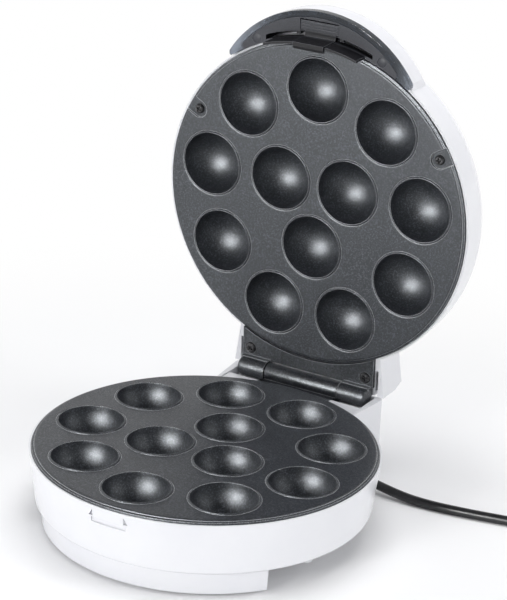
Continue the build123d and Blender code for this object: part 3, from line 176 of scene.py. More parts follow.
class Recipe:
    """One procedural material while it is being wired up."""

    def __init__(self, name):
        self.material = bpy.data.materials.new(name)
        self.material.use_nodes = True
        self.tree = self.material.node_tree
        self.shader = self.tree.nodes["Principled BSDF"]
        self.place = self.add("ShaderNodeTexCoord").outputs["Object"]

    def add(self, kind, **settings):
        node = self.tree.nodes.new(kind)
        for key, value in settings.items():
            setattr(node, key, value)
        return node

    def link(self, source, target):
        self.tree.links.new(source, target)

    def fixed(self, **values):
        """Values that are the same all over, by socket name."""
        for key, value in values.items():
            self.shader.inputs[key.replace("_", " ")].default_value = value

    def stretched(self, x, y, z):
        node = self.add("ShaderNodeMapping")
        node.inputs["Scale"].default_value = (x, y, z)
        self.link(self.place, node.inputs["Vector"])
        return node.outputs["Vector"]

    def noise(self, scale, detail=2.0, rough=0.5, place=None):
        node = self.add("ShaderNodeTexNoise")
        node.inputs["Scale"].default_value = scale
        node.inputs["Detail"].default_value = detail
        node.inputs["Roughness"].default_value = rough
        self.link(place or self.place, node.inputs["Vector"])
        return node.outputs["Fac"]

    def cells(self, scale, feature="F1"):
        node = self.add("ShaderNodeTexVoronoi", feature=feature)
        node.inputs["Scale"].default_value = scale
        self.link(self.place, node.inputs["Vector"])
        return node.outputs["Distance"]

    def ramp(self, source, *stops):
        """Colours or greys by position along the source."""
        node = self.add("ShaderNodeValToRGB")
        bar = node.color_ramp.elements
        while len(bar) < len(stops):
            bar.new(0.5)
        for element, (position, colour) in zip(bar, stops):
            element.position = position
            if isinstance(colour, (int, float)):
                colour = (colour, colour, colour)
            element.color = (*colour, 1)
        self.link(source, node.inputs["Fac"])
        return node.outputs["Color"]

    def mixed(self, first, second, factor, blend="MIX"):
        node = self.add("ShaderNodeMix", data_type="RGBA", blend_type=blend)
        if isinstance(factor, (int, float)):
            node.inputs[0].default_value = factor
        else:
            self.link(factor, node.inputs[0])
        self.link(first, node.inputs[6])
        self.link(second, node.inputs[7])
        return node.outputs[2]

    def colour(self, source):
        self.link(source, self.shader.inputs["Base Color"])

    def roughness(self, source):
        self.link(source, self.shader.inputs["Roughness"])

    def edge_highlight_mask(self, reach, start=0.02, end=0.16):
        """A mask that is 1 along sharp edges and 0 on faces, for painting highlights there."""
        node = self.add("ShaderNodeBevel", samples=6)
        node.inputs["Radius"].default_value = reach
        bend = self.add("ShaderNodeVectorMath", operation="DOT_PRODUCT")
        self.link(node.outputs["Normal"], bend.inputs[0])
        self.link(self.add("ShaderNodeNewGeometry").outputs["Normal"], bend.inputs[1])
        share = self.add("ShaderNodeMapRange")
        share.inputs["From Min"].default_value = 1 - start
        share.inputs["From Max"].default_value = 1 - end
        self.link(bend.outputs["Value"], share.inputs["Value"])
        return share.outputs["Result"]

    def beyond(self, origin, way, near, far):
        """0 before a plane's `near` distance and 1 after its `far` one, in metres along a direction."""
        offset = self.add("ShaderNodeVectorMath", operation="SUBTRACT")
        self.link(self.place, offset.inputs[0])
        offset.inputs[1].default_value = origin
        along = self.add("ShaderNodeVectorMath", operation="DOT_PRODUCT")
        self.link(offset.outputs["Vector"], along.inputs[0])
        along.inputs[1].default_value = way
        share = self.add("ShaderNodeMapRange", interpolation_type="SMOOTHSTEP")
        share.inputs["From Min"].default_value = near
        share.inputs["From Max"].default_value = far
        self.link(along.outputs["Value"], share.inputs["Value"])
        return share.outputs["Result"]

    def bumps(self, *layers, edge=None):
        """Height layers as (source, height in metres), one on the other."""
        normal = None
        if edge:
            node = self.add("ShaderNodeBevel", samples=4)
            node.inputs["Radius"].default_value = edge
            normal = node.outputs["Normal"]
        for source, height in layers:
            node = self.add("ShaderNodeBump")
            node.inputs["Distance"].default_value = height
            self.link(source, node.inputs["Height"])
            if normal:
                self.link(normal, node.inputs["Normal"])
            normal = node.outputs["Normal"]
        self.link(normal, self.shader.inputs["Normal"])


# ---------------------------------------------------------------- materials


def white_plastic():
    """Glossy injection-moulded plastic, a little cool, with faint sink and orange peel."""
    m = Recipe("white_plastic")
    cloud = m.noise(26, 3)
    m.colour(m.ramp(cloud, (0.3, (0.845, 0.85, 0.885)), (0.7, (0.875, 0.88, 0.905))))
    m.roughness(m.ramp(m.noise(60, 4), (0.3, 0.17), (0.7, 0.25)))
    m.fixed(IOR=1.5)
    m.bumps((m.noise(90, 2), 0.00012), (m.noise(1500, 2), 0.000004), edge=0.0005)
    return m.material


def grained_coating(name, dull, fleck, glossy, matt, edge_highlight_colour):
    """Dark grey baked coating with a fine light grain and half gloss; its edges are painted paler as a
    painted highlight.
    """
    m = Recipe(name)
    grain = m.noise(930, 4, 0.85)
    fine = m.noise(2600, 2, 0.7)
    flecks = m.ramp(grain, (0.45, dull), (0.52, tuple(c * 2.0 for c in dull)), (0.60, fleck))
    cloud = m.ramp(m.noise(18, 3), (0.35, 0.84), (0.7, 1.0))
    skin = m.mixed(flecks, cloud, 1.0, "MULTIPLY")
    # sharp edges, the cups' lips and the rims, painted paler as a painted highlight
    edges = m.edge_highlight_mask(0.0006, 0.014, 0.10)
    m.colour(m.mixed(skin, m.ramp(edges, (0.0, (0.10, 0.105, 0.115)), (1.0, edge_highlight_colour)), edges))
    m.roughness(m.ramp(m.noise(1300, 3), (0.3, glossy), (0.7, matt)))
    m.fixed(IOR=1.7, Specular_IOR_Level=0.48, Specular_Tint=(0.91, 0.955, 1.0, 1))
    m.bumps((grain, 0.00016), (fine, 0.00006), edge=0.0004)
    return m.material


def nonstick():
    """The plates' coating, a little blue."""
    return grained_coating(
        "nonstick",
        dull=(0.0060, 0.0068, 0.0088),
        fleck=(0.085, 0.091, 0.108),
        glossy=0.32,
        matt=0.40,
        # pale painted highlight on the plates' edges and lips
        edge_highlight_colour=(0.72, 0.73, 0.75),
    )


def coated_casting():
    """The same coating on the hinge's castings, glossier."""
    return grained_coating(
        "coated_casting",
        dull=(0.0045, 0.0050, 0.0065),
        fleck=(0.075, 0.08, 0.09),
        glossy=0.27,
        matt=0.36,
        # painted highlight on the castings' edges
        edge_highlight_colour=(0.34, 0.345, 0.36),
    )


def bright_steel():
    """Plated steel with fine lengthwise drawing marks."""
    m = Recipe("bright_steel")
    drawn = m.noise(900, 3, 0.6, m.stretched(0.05, 1, 1))
    m.colour(m.ramp(drawn, (0.3, (0.60, 0.60, 0.62)), (0.7, (0.74, 0.74, 0.76))))
    m.roughness(m.ramp(drawn, (0.3, 0.16), (0.7, 0.3)))
    m.fixed(Metallic=1.0)
    m.bumps((drawn, 0.000008), edge=0.0002)
    return m.material


def zinc_plating():
    """Blue-white zinc with crystalline patches."""
    m = Recipe("zinc_plating")
    patch = m.cells(700)
    m.colour(m.ramp(patch, (0.1, (0.50, 0.52, 0.56)), (0.6, (0.66, 0.67, 0.68))))
    m.roughness(m.ramp(m.noise(400, 3), (0.3, 0.26), (0.7, 0.44)))
    m.fixed(Metallic=1.0)
    m.bumps((m.noise(1200, 3), 0.00001), edge=0.0002)
    return m.material


def blackened_steel():
    """Oiled black screw steel, worn brighter in places."""
    m = Recipe("blackened_steel")
    wear = m.noise(900, 4, 0.7)
    m.colour(m.ramp(wear, (0.45, (0.030, 0.030, 0.032)), (0.75, (0.16, 0.16, 0.165))))
    m.roughness(m.ramp(m.noise(700, 3), (0.3, 0.28), (0.7, 0.45)))
    m.fixed(Metallic=0.7)
    m.bumps((wear, 0.00001), edge=0.0001)
    return m.material


def heater_sheath():
    """Steel sheath with straw and blue heat tints along it."""
    m = Recipe("heater_sheath")
    tint = m.noise(35, 3, 0.6)
    m.colour(m.ramp(tint, (0.3, (0.16, 0.13, 0.10)), (0.5, (0.27, 0.25, 0.23)), (0.7, (0.14, 0.15, 0.19))))
    m.roughness(m.ramp(m.noise(900, 3), (0.3, 0.34), (0.7, 0.52)))
    m.fixed(Metallic=1.0)
    m.bumps((m.noise(1500, 2), 0.00001))
    return m.material


def aluminium_sheet():
    """Pressed aluminium with rolling lines and dull handling marks."""
    m = Recipe("aluminium_sheet")
    rolled = m.noise(700, 3, 0.6, m.stretched(1, 0.04, 1))
    m.colour(m.ramp(rolled, (0.3, (0.70, 0.71, 0.72)), (0.7, (0.82, 0.83, 0.84))))
    m.roughness(m.ramp(m.noise(60, 4), (0.3, 0.26), (0.7, 0.46)))
    m.fixed(Metallic=1.0)
    m.bumps((rolled, 0.00001), edge=0.0003)
    return m.material


def insulator():
    """Pale heat-proof moulding, slightly speckled and dry."""
    m = Recipe("insulator")
    speck = m.noise(1400, 3, 0.7)
    m.colour(m.ramp(speck, (0.35, (0.58, 0.54, 0.45)), (0.6, (0.74, 0.70, 0.60))))
    m.roughness(m.ramp(m.noise(300, 3), (0.3, 0.5), (0.7, 0.7)))
    m.bumps((speck, 0.00002), edge=0.0003)
    return m.material


def lead_sheath():
    """Black flexible sheath, half matte, with extrusion streaks and a little dust."""
    m = Recipe("lead_sheath")
    dust = m.noise(240, 4, 0.7)
    m.colour(m.ramp(dust, (0.4, (0.008, 0.008, 0.009)), (0.75, (0.022, 0.022, 0.025))))
    m.roughness(m.ramp(m.noise(90, 3), (0.3, 0.3), (0.7, 0.44)))
    m.bumps((m.noise(700, 3), 0.00003), edge=0.0003)
    return m.material


def rubber():
    """Matt black rubber foot with a fine moulded texture and dusty wear."""
    m = Recipe("rubber")
    wear = m.noise(260, 4, 0.7)
    m.colour(m.ramp(wear, (0.4, (0.018, 0.018, 0.019)), (0.75, (0.055, 0.053, 0.05))))
    m.roughness(m.ramp(wear, (0.3, 0.68), (0.7, 0.88)))
    m.bumps((m.noise(1600, 2), 0.00003), edge=0.0004)
    return m.material


def smoke_plastic():
    """Smoke-blue clear plastic of the handle's visor, thinner and paler towards its tips."""
    m = Recipe("smoke_plastic")
    left = m.beyond((0, 0, 0), (-1, 0, 0), 0.016, 0.068)
    right = m.beyond((0, 0, 0), (1, 0, 0), 0.050, 0.068)
    deep = m.ramp(m.noise(14, 2), (0.3, (0.018, 0.026, 0.040)), (0.7, (0.034, 0.045, 0.064)))
    pale = m.ramp(m.noise(22, 2), (0.3, (0.30, 0.34, 0.40)), (0.7, (0.40, 0.44, 0.50)))
    m.colour(m.mixed(m.mixed(deep, pale, left), pale, right))
    m.roughness(m.ramp(m.noise(60, 2), (0.3, 0.10), (0.7, 0.18)))
    m.fixed(Transmission_Weight=0.55, IOR=1.5)
    m.bumps((m.noise(45, 1), 0.00001), edge=0.0005)
    return m.material


def grip_plastic():
    """Dark grey handle moulding with an eroded face; the pocket and skirt are painted near-black as
    painted shade, and its sharp edges are painted paler as a painted highlight.
    """
    m = Recipe("grip_plastic")
    erosion = m.noise(1500, 3, 0.7)
    face = m.ramp(erosion, (0.35, (0.040, 0.042, 0.050)), (0.65, (0.066, 0.069, 0.080)))
    # near-black painted shade for the pocket behind the face and the skirt before it
    pocket_shade_colour = m.ramp(erosion, (0.35, (0.006, 0.006, 0.008)), (0.65, (0.012, 0.012, 0.015)))
    behind = m.beyond(lid_origin / 1000, lid_up, 0.0009, 0.0016)
    before = m.beyond(lid_origin / 1000, -lid_up, 0.0006, 0.0012)
    skin = m.mixed(m.mixed(face, pocket_shade_colour, behind), pocket_shade_colour, before)
    # sharp edges painted paler as a painted highlight
    edges = m.edge_highlight_mask(0.0005, 0.03, 0.2)
    m.colour(m.mixed(skin, m.ramp(edges, (0.0, 0.10), (1.0, (0.22, 0.23, 0.26))), edges))
    m.roughness(m.ramp(m.noise(500, 3), (0.3, 0.42), (0.7, 0.58)))
    m.fixed(Specular_IOR_Level=0.25)
    m.bumps((erosion, 0.00002), edge=0.0005)
    return m.material


def lens_plastic(name, dark, light):
    """Translucent signal lens with a moulded stipple."""
    m = Recipe(name)
    m.colour(m.ramp(m.noise(300, 3), (0.3, dark), (0.7, light)))
    m.roughness(m.ramp(m.noise(700, 2), (0.3, 0.08), (0.7, 0.18)))
    m.fixed(Transmission_Weight=0.35, IOR=1.5)
    m.bumps((m.cells(1200), 0.00004), edge=0.0003)
    return m.material


finishes = {
    "white_shell": white_plastic(),
    "foot_rubber": rubber(),
    "nonstick_plate": nonstick(),
    "hinge_casting": coated_casting(),
    "plated_steel": bright_steel(),
    "zinc_steel": zinc_plating(),
    "dark_screws": blackened_steel(),
    "heater_tube": heater_sheath(),
    "pressed_aluminium": aluminium_sheet(),
    "pale_insulator": insulator(),
    "black_cord": lead_sheath(),
    "smoke_visor": smoke_plastic(),
    "grey_grip": grip_plastic(),
    "red_lens": lens_plastic("red_plastic", (0.42, 0.02, 0.015), (0.60, 0.04, 0.03)),
    "green_lens": lens_plastic("green_plastic", (0.02, 0.28, 0.06), (0.04, 0.42, 0.11)),
}
slot_of = {part["node"]: part["material_slot"] for part in frame["record"]["subparts"]}
for name, node in nodes.items():
    for held in node.material_slots:
        held.material = finishes[slot_of[name]]
curve.materials.append(finishes["black_cord"])

# ---------------------------------------------------------------- mesh helpers


def from_bmesh(name, mesh, body, slot, smooth=40):
    """A new piece in metres from a mesh drawn in millimetres, riding on a body."""
    bmesh.ops.recalc_face_normals(mesh, faces=mesh.faces)
    data = bpy.data.meshes.new(name)
    mesh.to_mesh(data)
    mesh.free()
    data.transform(Matrix.Scale(0.001, 4))
    data.polygons.foreach_set("use_smooth", [True] * len(data.polygons))
    piece = bpy.data.objects.new(name, data)
    scene.collection.objects.link(piece)
    data.set_sharp_from_angle(angle=radians(smooth))
    data.materials.append(finishes[slot])
    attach(piece, body)
    return piece


def lathe(mesh, profile, place, segments=40):
    """Turn a profile of (radius, height) about the local z axis of a placement."""
    rings = []
    for radius, height in profile:
        if radius < 1e-6:
            rings.append([mesh.verts.new(place @ Vector((0, 0, height)))])
            continue
        ring = []
        for step in range(segments):
            angle = 2 * pi * step / segments
            spot = Vector((radius * cos(angle), radius * sin(angle), height))
            ring.append(mesh.verts.new(place @ spot))
        rings.append(ring)
    for below, above in zip(rings, rings[1:]):
        for step in range(segments):
            after = (step + 1) % segments
            corners = [
                below[step % len(below)],
                below[after % len(below)],
                above[after % len(above)],
                above[step % len(above)],
            ]
            corners = list(dict.fromkeys(corners))
            if len(corners) > 2:
                mesh.faces.new(corners)
    return rings


screw_head_height = 2.2
screw_shank = 1.85
first_screw_turn = 0.5
screw_turn_step = 0.83


def cross_head(mesh, place, head, length, turn):
    """A pan-head screw with a cross recess; the head stands on the -z side of its seat."""
    place = place @ Matrix.Rotation(turn, 4, "Z")
    height = screw_head_height
    arm = head * 0.56
    half = head * 0.13
    depth = height * 0.62
    outline = []
    for quarter in range(4):
        for x, y in ((arm, -half), (arm, half), (half * 1.25, half * 1.25)):
            angle = quarter * pi / 2
            outline.append((x * cos(angle) - y * sin(angle), x * sin(angle) + y * cos(angle)))
    crown = -height
    count = len(outline)
    rim_steps = 3 * count
    top = [mesh.verts.new(place @ Vector((x, y, crown))) for x, y in outline]
    low = [mesh.verts.new(place @ Vector((x * 0.72, y * 0.6, crown + depth))) for x, y in outline]
    for step in range(count):
        after = (step + 1) % count
        mesh.faces.new((top[step], top[after], low[after], low[step]))
    mesh.faces.new(low)
    dome = [(head * 0.72, crown), (head * 0.9, crown + height * 0.22)]
    dome += [(head, crown + height * 0.6), (head, 0)]
    rings = []
    for radius, level in dome:
        ring = []
        for step in range(rim_steps):
            angle = 2 * pi * step / rim_steps - pi / 4
            ring.append(mesh.verts.new(place @ Vector((radius * cos(angle), radius * sin(angle), level))))
        rings.append(ring)
    for below, above in zip(rings, rings[1:]):
        for step in range(rim_steps):
            after = (step + 1) % rim_steps
            mesh.faces.new((below[step], below[after], above[after], above[step]))
    bridge = [mesh.edges.get((top[i], top[(i + 1) % count])) for i in range(count)]
    bridge += [mesh.edges.get((rings[0][i], rings[0][(i + 1) % rim_steps])) for i in range(rim_steps)]
    bmesh.ops.triangle_fill(mesh, edges=bridge, use_beauty=True)
    seat = lathe(mesh, [(screw_shank, 0), (screw_shank, length), (0, length)], place, rim_steps)[0]
    bridge = [mesh.edges.get((seat[i], seat[(i + 1) % rim_steps])) for i in range(rim_steps)]
    bridge += [mesh.edges.get((rings[-1][i], rings[-1][(i + 1) % rim_steps])) for i in range(rim_steps)]
    bmesh.ops.bridge_loops(mesh, edges=bridge)


def screw_set(name, node, spots, seat, length, head=3.6):
    """Lid screws with cross recesses in place of the plain ones, each turned a little differently."""
    mesh = bmesh.new()
    for number, (x, y) in enumerate(spots):
        here = lid_frame @ Matrix.Translation(Vector((x, y, seat)))
        cross_head(mesh, here, head, length, first_screw_turn + screw_turn_step * number)
    piece = from_bmesh(name, mesh, "lid", "dark_screws", smooth=35)
    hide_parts(node)


# ---------------------------------------------------------------- cooking plates
lip_height = 0.7
crest_height = 52.0
plate_back = 3.7
land_radius = 102.4
land_round = 0.8
flange_radius = 104.0
flange_depth = 4.5
ledge_inside = 100.7
flange_round = [(0.5, 1.7), (0.15, 1.85), (0, 2.2)]  # inset from the flange's edge, depth
land_margin = 1.3
cup_radius = 20.0
cup_base = 22.75
bowl_start = 1.3  # degrees from the crest's plane
bowl_bands = 16
cone_outline = [(23.5, -plate_back), (11.6, -22.0), (11.0, -cup_base), (0, -cup_base)]
ear_spots = [(-84.3, -47), (84.3, -47)]
ear_radius = 5.6
ear_seat = 2.3
ear_reach = 20.0  # of the cutter, past the plate's edge
ear_cutter_top = 3.0
ear_steps = 24
cup_spots = [(75.0 * cos(a), 75.0 * sin(a)) for a in (radians(-10 + 40 * k) for k in range(9))]
cup_spots += [(27.3 * cos(a), 27.3 * sin(a)) for a in (radians(90 + 120 * k) for k in range(3))]
boss_spots = [(92.0 * cos(radians(a)), 92.0 * sin(radians(a))) for a in (50, 130, 250, 290)]
clamp_spots = [(40.0 * cos(radians(a)), 40.0 * sin(radians(a))) for a in (30, 150, 270)]
stud_sizes = [(boss_spots, 4.5, 23.85), (clamp_spots, 4.0, 17.0)]  # places, radius, reach under the crest
stud_root = 3.5
rim_segments = 240
cup_segments = 72
cone_segments = 48
stud_segments = 24


def ring_edges(mesh, *rings):
    """The closed edge loops of rings of vertices."""
    return [mesh.edges.get((ring[i - 1], ring[i])) for ring in rings for i in range(len(ring))]


def cup_profile():
    """A raised rounded lip and the bowl down to its pole, as (radius, height) from the crest's plane."""
    profile = [(22.3, -0.7), (21.95, -0.7), (21.75, -0.76), (21.55, -0.92), (21.35, -0.88)]
    profile += [(21.15, -0.6), (20.95, -0.26), (20.75, -0.07), (20.5, 0.0), (20.2, -0.04), (20.05, -0.16)]
    for band in range(bowl_bands):
        angle = radians(bowl_start + (90 - bowl_start) * band / bowl_bands)
        profile.append((cup_radius * cos(angle), -cup_radius * sin(angle)))
    return profile + [(0, -cup_radius)]


def ear_cutter():
    """U-shaped seats of the upper plate's two screws, open to its edge."""
    mesh = bmesh.new()
    for x, y in ear_spots:
        y = -y
        outward = atan2(y, x)
        outline = [(ear_reach, -ear_radius), (ear_reach, ear_radius)]
        for step in range(ear_steps + 1):
            angle = pi / 2 + pi * step / ear_steps
            outline.append((ear_radius * cos(angle), ear_radius * sin(angle)))
        here = Matrix.Translation(Vector((x, y, 0))) @ Matrix.Rotation(outward, 4, "Z")
        low = [mesh.verts.new(here @ Vector((px, py, -ear_seat))) for px, py in outline]
        high = [mesh.verts.new(here @ Vector((px, py, ear_cutter_top))) for px, py in outline]
        mesh.faces.new(low)
        mesh.faces.new(high)
        for i in range(len(outline)):
            mesh.faces.new((low[i - 1], low[i], high[i], high[i - 1]))
    bmesh.ops.recalc_face_normals(mesh, faces=mesh.faces)
    data = bpy.data.meshes.new("seats")
    mesh.to_mesh(data)
    mesh.free()
    return data


def without(mesh, cutter_data):
    """The mesh with another cut out of it."""
    bmesh.ops.recalc_face_normals(mesh, faces=mesh.faces)
    data = bpy.data.meshes.new("blank")
    mesh.to_mesh(data)
    mesh.free()
    blank = bpy.data.objects.new("blank", data)
    cutter = bpy.data.objects.new("cutter", cutter_data)
    for item in (blank, cutter):
        scene.collection.objects.link(item)
    cut = blank.modifiers.new("cut", "BOOLEAN")
    cut.operation = "DIFFERENCE"
    cut.solver = "EXACT"
    cut.object = cutter
    bpy.context.view_layer.update()
    done = bpy.data.meshes.new_from_object(blank.evaluated_get(bpy.context.evaluated_depsgraph_get()))
    mesh = bmesh.new()
    mesh.from_mesh(done)
    for item in (blank, cutter):
        bpy.data.objects.remove(item)
    for leftover in (data, cutter_data, done):
        bpy.data.meshes.remove(leftover)
    return mesh


def cooking_plate(name, node, body, place, side, seats=None):
    """A cast plate: flat land, twelve lipped bowls, rounded edge, flange and tapered undersides."""
    mesh = bmesh.new()
    level = Matrix.Identity(4)
    edge = [(land_radius - land_margin, -lip_height), (land_radius - land_round, -lip_height)]
    for step in (1, 2, 3):
        angle = radians(30 * step)
        across = land_radius - land_round + land_round * sin(angle)
        edge.append((across, -lip_height - land_round + land_round * cos(angle)))
    edge += [(flange_radius - inset, -depth) for inset, depth in flange_round]
    edge += [(flange_radius, -flange_depth), (ledge_inside, -flange_depth), (ledge_inside, -plate_back)]
    rim = lathe(mesh, edge, level, rim_segments)
    bowls, cones = [], []
    for x, y in cup_spots:
        spot = Matrix.Translation(Vector((x, y * side, 0)))
        bowls.append(lathe(mesh, cup_profile(), spot, cup_segments)[0])
        cones.append(lathe(mesh, cone_outline, spot, cone_segments)[0])
    bmesh.ops.triangle_fill(mesh, edges=ring_edges(mesh, rim[0], *bowls), use_beauty=True)
    bmesh.ops.triangle_fill(mesh, edges=ring_edges(mesh, rim[-1], *cones), use_beauty=True)
    if seats:
        mesh = without(mesh, seats)
    for spots, radius, reach in stud_sizes:
        stud = [(0, -reach), (radius, -reach), (radius, -stud_root), (0, -stud_root)]
        for x, y in spots:
            lathe(mesh, stud, Matrix.Translation(Vector((x, y * side, 0))), stud_segments)
    bmesh.ops.transform(mesh, matrix=place, verts=mesh.verts)
    piece = from_bmesh(name, mesh, body, "nonstick_plate")
    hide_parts(node)


turned_over = lid_frame @ Matrix.Rotation(pi, 4, "X")
cooking_plate("lower_griddle", "lower_plate", "base", Matrix.Translation(Vector((0, 0, crest_height))), 1)
cooking_plate("upper_griddle", "upper_plate", "lid", turned_over, -1, ear_cutter())

# ---------------------------------------------------------------- hinge leaf
mouth_radius = 104.6
leaf_half = 47.9
barrel_half = 26.4
barrel_radius = 5.7
barrel_round = [(0.6, 0), (0.15, 0.2), (0, 0.7)]  # inset from its radius, distance from its end
pin_bore = 2.6
leaf_bottom = 40.0
leaf_shelf = 43.5
leaf_top = 48.6
leaf_bevel = 0.4
leaf_step = 2.0  # between sections across the hinge
ramp_head = [(105.3, leaf_top), (106.5, leaf_top - 0.35)]
ramp_foot = (110.8, 46.0)
leaf_back = [(124.2, leaf_shelf), (124.2, leaf_bottom)]
web_top = [(114.05, 46.9), (122.05, 46.9), (122.05, leaf_shelf)]
shoulder_gap = 0.3


def leaf_part(mesh, start, end, back):
    """A stretch of the leaf across the hinge, its front edge round the plate."""
    steps = max(int((end - start) / leaf_step), 2)
    sections = []
    for step in range(steps + 1):
        x = start + (end - start) * step / steps
        front = (mouth_radius**2 - x**2) ** 0.5
        outline = [(front, leaf_bottom), (front, leaf_top - leaf_bevel), (front + leaf_bevel, leaf_top)]
        outline += [*ramp_head, ramp_foot, *back]
        sections.append([mesh.verts.new((x, y, z)) for y, z in outline])
    for before, after in zip(sections, sections[1:]):
        for i in range(len(before)):
            mesh.faces.new((before[i - 1], before[i], after[i], after[i - 1]))
    ends = [mesh.faces.new(sections[0]), mesh.faces.new(sections[-1])]
    bmesh.ops.triangulate(mesh, faces=ends)


leaf_mesh = bmesh.new()
leaf_part(leaf_mesh, -barrel_half, barrel_half, web_top + leaf_back)
barrel_end = [(barrel_radius - inset, barrel_half - back) for inset, back in barrel_round]
barrel_profile = [(pin_bore, -barrel_half)] + [(radius, -height) for radius, height in barrel_end]
barrel_profile += [*reversed(barrel_end), (pin_bore, barrel_half), (pin_bore, -barrel_half)]
hinge_line = Matrix.Translation(Vector((0, hinge_y, hinge_z))) @ Matrix.Rotation(pi / 2, 4, "Y")
lathe(leaf_mesh, barrel_profile, hinge_line, 48)
bmesh.ops.remove_doubles(leaf_mesh, verts=leaf_mesh.verts, dist=0.0001)
hinge_saddle = from_bmesh("hinge_saddle", leaf_mesh, "base", "hinge_casting", smooth=35)
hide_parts("hinge_leaf")

# the tower's white shoulders beside the saddle
shoulder_mesh = bmesh.new()
for side in (-1, 1):
    reach = sorted((side * (barrel_half + shoulder_gap), side * leaf_half))
    leaf_part(shoulder_mesh, *reach, [(ramp_foot[0], leaf_shelf), *leaf_back])
from_bmesh("tower_shoulders", shoulder_mesh, "base", "white_shell", smooth=35)

# ---------------------------------------------------------------- small hardware
bracket_screw_spots = [(-41.8, 106.5), (41.8, 106.5)]
grip_screw_spots = [(-43.3, -100.6), (43.3, -100.6)]
screw_set("plate_hanger_screws", "upper_plate_screws", ear_spots, seat=ear_seat, length=12, head=3.1)
screw_set("hinge_bracket_screws", "bracket_screws", bracket_screw_spots, seat=2.1, length=9)
screw_set("grip_screws", "handle_screws", grip_screw_spots, seat=2.4, length=9, head=2.8)

# plugs over the grip's screws, flush with its face
plug_outline = [(0, 0.02), (2.7, 0.02), (2.98, 0.25), (2.98, 0.9), (0, 0.9)]
plug_mesh = bmesh.new()
for x, y in grip_screw_spots:
    lathe(plug_mesh, plug_outline, lid_frame @ Matrix.Translation(Vector((x, y, 0))))
from_bmesh("grip_plugs", plug_mesh, "lid", "grey_grip")

# ribbed strain relief round the lead
relief_way = (Vector(lead_route[1]) - Vector(lead_route[0])).normalized()
relief_reach = 17.1
relief_start = 4.2
relief_end = 3.45
relief_inside = 6.0  # held in the housing's wall
relief_collar = 0.6
relief_tip = [(0.3, 0.2), (0.5, 0.0)]  # inset from the thin end's radius, distance from its face
rib_count = 6
rib_first = 1.2
rib_pitch = 2.5
# one groove and rib, as inset from the taper and distance from the groove's foot
rib_outline = [(0.75, 0.0), (0.75, 0.8), (0.2, 1.0), (0.0, 1.25), (0.0, 2.05), (0.2, 2.3)]
relief_profile = [(0, -relief_inside), (relief_start, -relief_inside), (relief_start, relief_collar)]
for rib in range(rib_count):
    foot = rib_first + rib_pitch * rib
    thick = relief_start + (relief_end - relief_start) * foot / relief_reach
    relief_profile += [(thick - inset, foot + along) for inset, along in rib_outline]
relief_profile += [(relief_end - inset, relief_reach - back) for inset, back in relief_tip]
relief_profile += [(0, relief_reach)]
relief_foot = Vector(lead_route[0]) - relief_way * relief_reach
relief_place = Matrix.Translation(relief_foot) @ relief_way.to_track_quat("Z", "Y").to_matrix().to_4x4()
relief_mesh = bmesh.new()
lathe(relief_mesh, relief_profile, relief_place, 32)
lead_relief = from_bmesh("lead_relief", relief_mesh, "base", "black_cord", smooth=50)
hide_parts("strain_relief")

# ---------------------------------------------------------------- studio


paper_shadow_reach = (0.16, 0.50)  # metres from the middle where the shadow starts and ends fading
floor_half = 6.0


def paper(name, colour):
    """Matt paper that keeps the shadow near the object and is plain white further off."""
    m = Recipe(name)
    m.colour(m.ramp(m.noise(9, 2), (0.3, colour), (0.7, tuple(c * 0.995 for c in colour))))
    m.fixed(Roughness=0.9, Specular_IOR_Level=0.1)
    path = m.add("ShaderNodeLightPath")
    seen = path.outputs["Is Camera Ray"]
    for other in ("Is Glossy Ray", "Is Transmission Ray"):
        either = m.add("ShaderNodeMath", operation="MAXIMUM")
        m.link(seen, either.inputs[0])
        m.link(path.outputs[other], either.inputs[1])
        seen = either.outputs[0]
    away = m.add("ShaderNodeVectorMath", operation="LENGTH")
    m.link(m.place, away.inputs[0])
    far = m.add("ShaderNodeMapRange", interpolation_type="SMOOTHSTEP")
    far.inputs["From Min"].default_value = paper_shadow_reach[0]
    far.inputs["From Max"].default_value = paper_shadow_reach[1]
    m.link(away.outputs["Value"], far.inputs["Value"])
    share = m.add("ShaderNodeMath", operation="MULTIPLY")
    m.link(far.outputs["Result"], share.inputs[0])
    m.link(seen, share.inputs[1])
    white = m.add("ShaderNodeEmission")
    mixer = m.add("ShaderNodeMixShader")
    m.link(share.outputs[0], mixer.inputs[0])
    m.link(m.shader.outputs[0], mixer.inputs[1])
    m.link(white.outputs[0], mixer.inputs[2])
    m.link(mixer.outputs[0], m.tree.nodes["Material Output"].inputs["Surface"])
    return m.material


floor_mesh = bmesh.new()
floor_corners = [(-1, -1), (1, -1), (1, 1), (-1, 1)]
floor_mesh.faces.new([floor_mesh.verts.new((x * floor_half, y * floor_half, 0)) for x, y in floor_corners])
floor_data = bpy.data.meshes.new("floor")
floor_mesh.to_mesh(floor_data)
floor_mesh.free()
floor = bpy.data.objects.new("floor", floor_data)
scene.collection.objects.link(floor)
floor_data.materials.append(paper("floor_paper", (0.93, 0.93, 0.935)))

world = bpy.data.worlds.new("studio")
scene.world = world
world.use_nodes = True
tree = world.node_tree
tree.nodes.clear()


def world_node(kind, **settings):
    node = tree.nodes.new(kind)
    for key, value in settings.items():
        setattr(node, key, value)
    return node


def wired(node, *sources):
    for number, source in enumerate(sources):
        tree.links.new(source, node.inputs[number])
    return node.outputs[0]


def background(colour, strength):
    node = world_node("ShaderNodeBackground")
    node.inputs["Color"].default_value = (*colour, 1)
    if isinstance(strength, float):
        node.inputs["Strength"].default_value = strength
    else:
        tree.links.new(strength, node.inputs["Strength"])
    return node.outputs[0]


def fall(source, start, end, low):
    """1 before start, the low value after end."""
    node = world_node("ShaderNodeMapRange", interpolation_type="SMOOTHSTEP")
    node.inputs["From Min"].default_value = start
    node.inputs["From Max"].default_value = end
    node.inputs["To Min"].default_value = 1.0
    node.inputs["To Max"].default_value = low
    return wired(node, source)


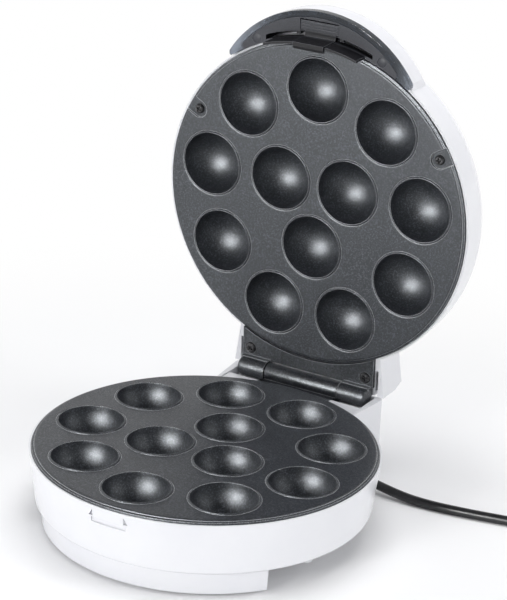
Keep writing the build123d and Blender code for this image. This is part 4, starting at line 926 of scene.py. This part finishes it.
# the room is white for the camera and behind glass; gloss sees it darker overhead and to the right
heading = world_node("ShaderNodeSeparateXYZ")
tree.links.new(world_node("ShaderNodeTexCoord").outputs["Generated"], heading.inputs[0])
overhead = fall(heading.outputs["Z"], start=0.42, end=0.75, low=0.08)
rightwards = fall(heading.outputs["X"], start=0.05, end=0.6, low=0.30)
room = wired(world_node("ShaderNodeMath", operation="MULTIPLY"), overhead, rightwards)
rays = world_node("ShaderNodeLightPath")
plain = wired(
    world_node("ShaderNodeMath", operation="MAXIMUM"),
    rays.outputs["Is Camera Ray"],
    rays.outputs["Is Transmission Ray"],
)
matt = background((0.96, 0.97, 1.0), 0.36)
gloss = background((1, 1, 1), room)
white = background((1, 1, 1), 1.0)
shown = wired(world_node("ShaderNodeMixShader"), rays.outputs["Is Glossy Ray"], matt, gloss)
shown = wired(world_node("ShaderNodeMixShader"), plain, shown, white)
tree.links.new(shown, world_node("ShaderNodeOutputWorld").inputs["Surface"])


def soft_box(name, spot, aim, width, height, power, in_gloss=True, in_matt=True):
    """A rectangular studio light that looks at a point."""
    data = bpy.data.lights.new(name, "AREA")
    data.shape = "RECTANGLE"
    data.size = width
    data.size_y = height
    data.energy = power
    light = bpy.data.objects.new(name, data)
    scene.collection.objects.link(light)
    way = Vector(aim) - Vector(spot)
    light.rotation_euler = way.to_track_quat("-Z", "Y").to_euler()
    light.location = spot
    light.visible_glossy = in_gloss
    light.visible_diffuse = in_matt


soft_box("key_box", (-0.20, -1.50, 0.60), (0, 0.03, 0.14), 0.40, 0.40, power=9.5)
soft_box("key_sheen", (-0.21, -1.52, 0.60), (0, 0.03, 0.14), 0.40, 0.40, power=44, in_matt=False)
soft_box("left_box", (-1.9, -0.5, 1.1), (0, 0.05, 0.12), 1.2, 1.6, power=4.5)
soft_box("top_box", (0.1, 0.3, 2.4), (0, 0.05, 0.1), 1.8, 1.8, power=32, in_gloss=False)
soft_box("right_box", (1.9, 0.5, 0.8), (0, 0.05, 0.12), 0.8, 1.2, power=11)

# ---------------------------------------------------------------- end
bpy.context.view_layer.update()
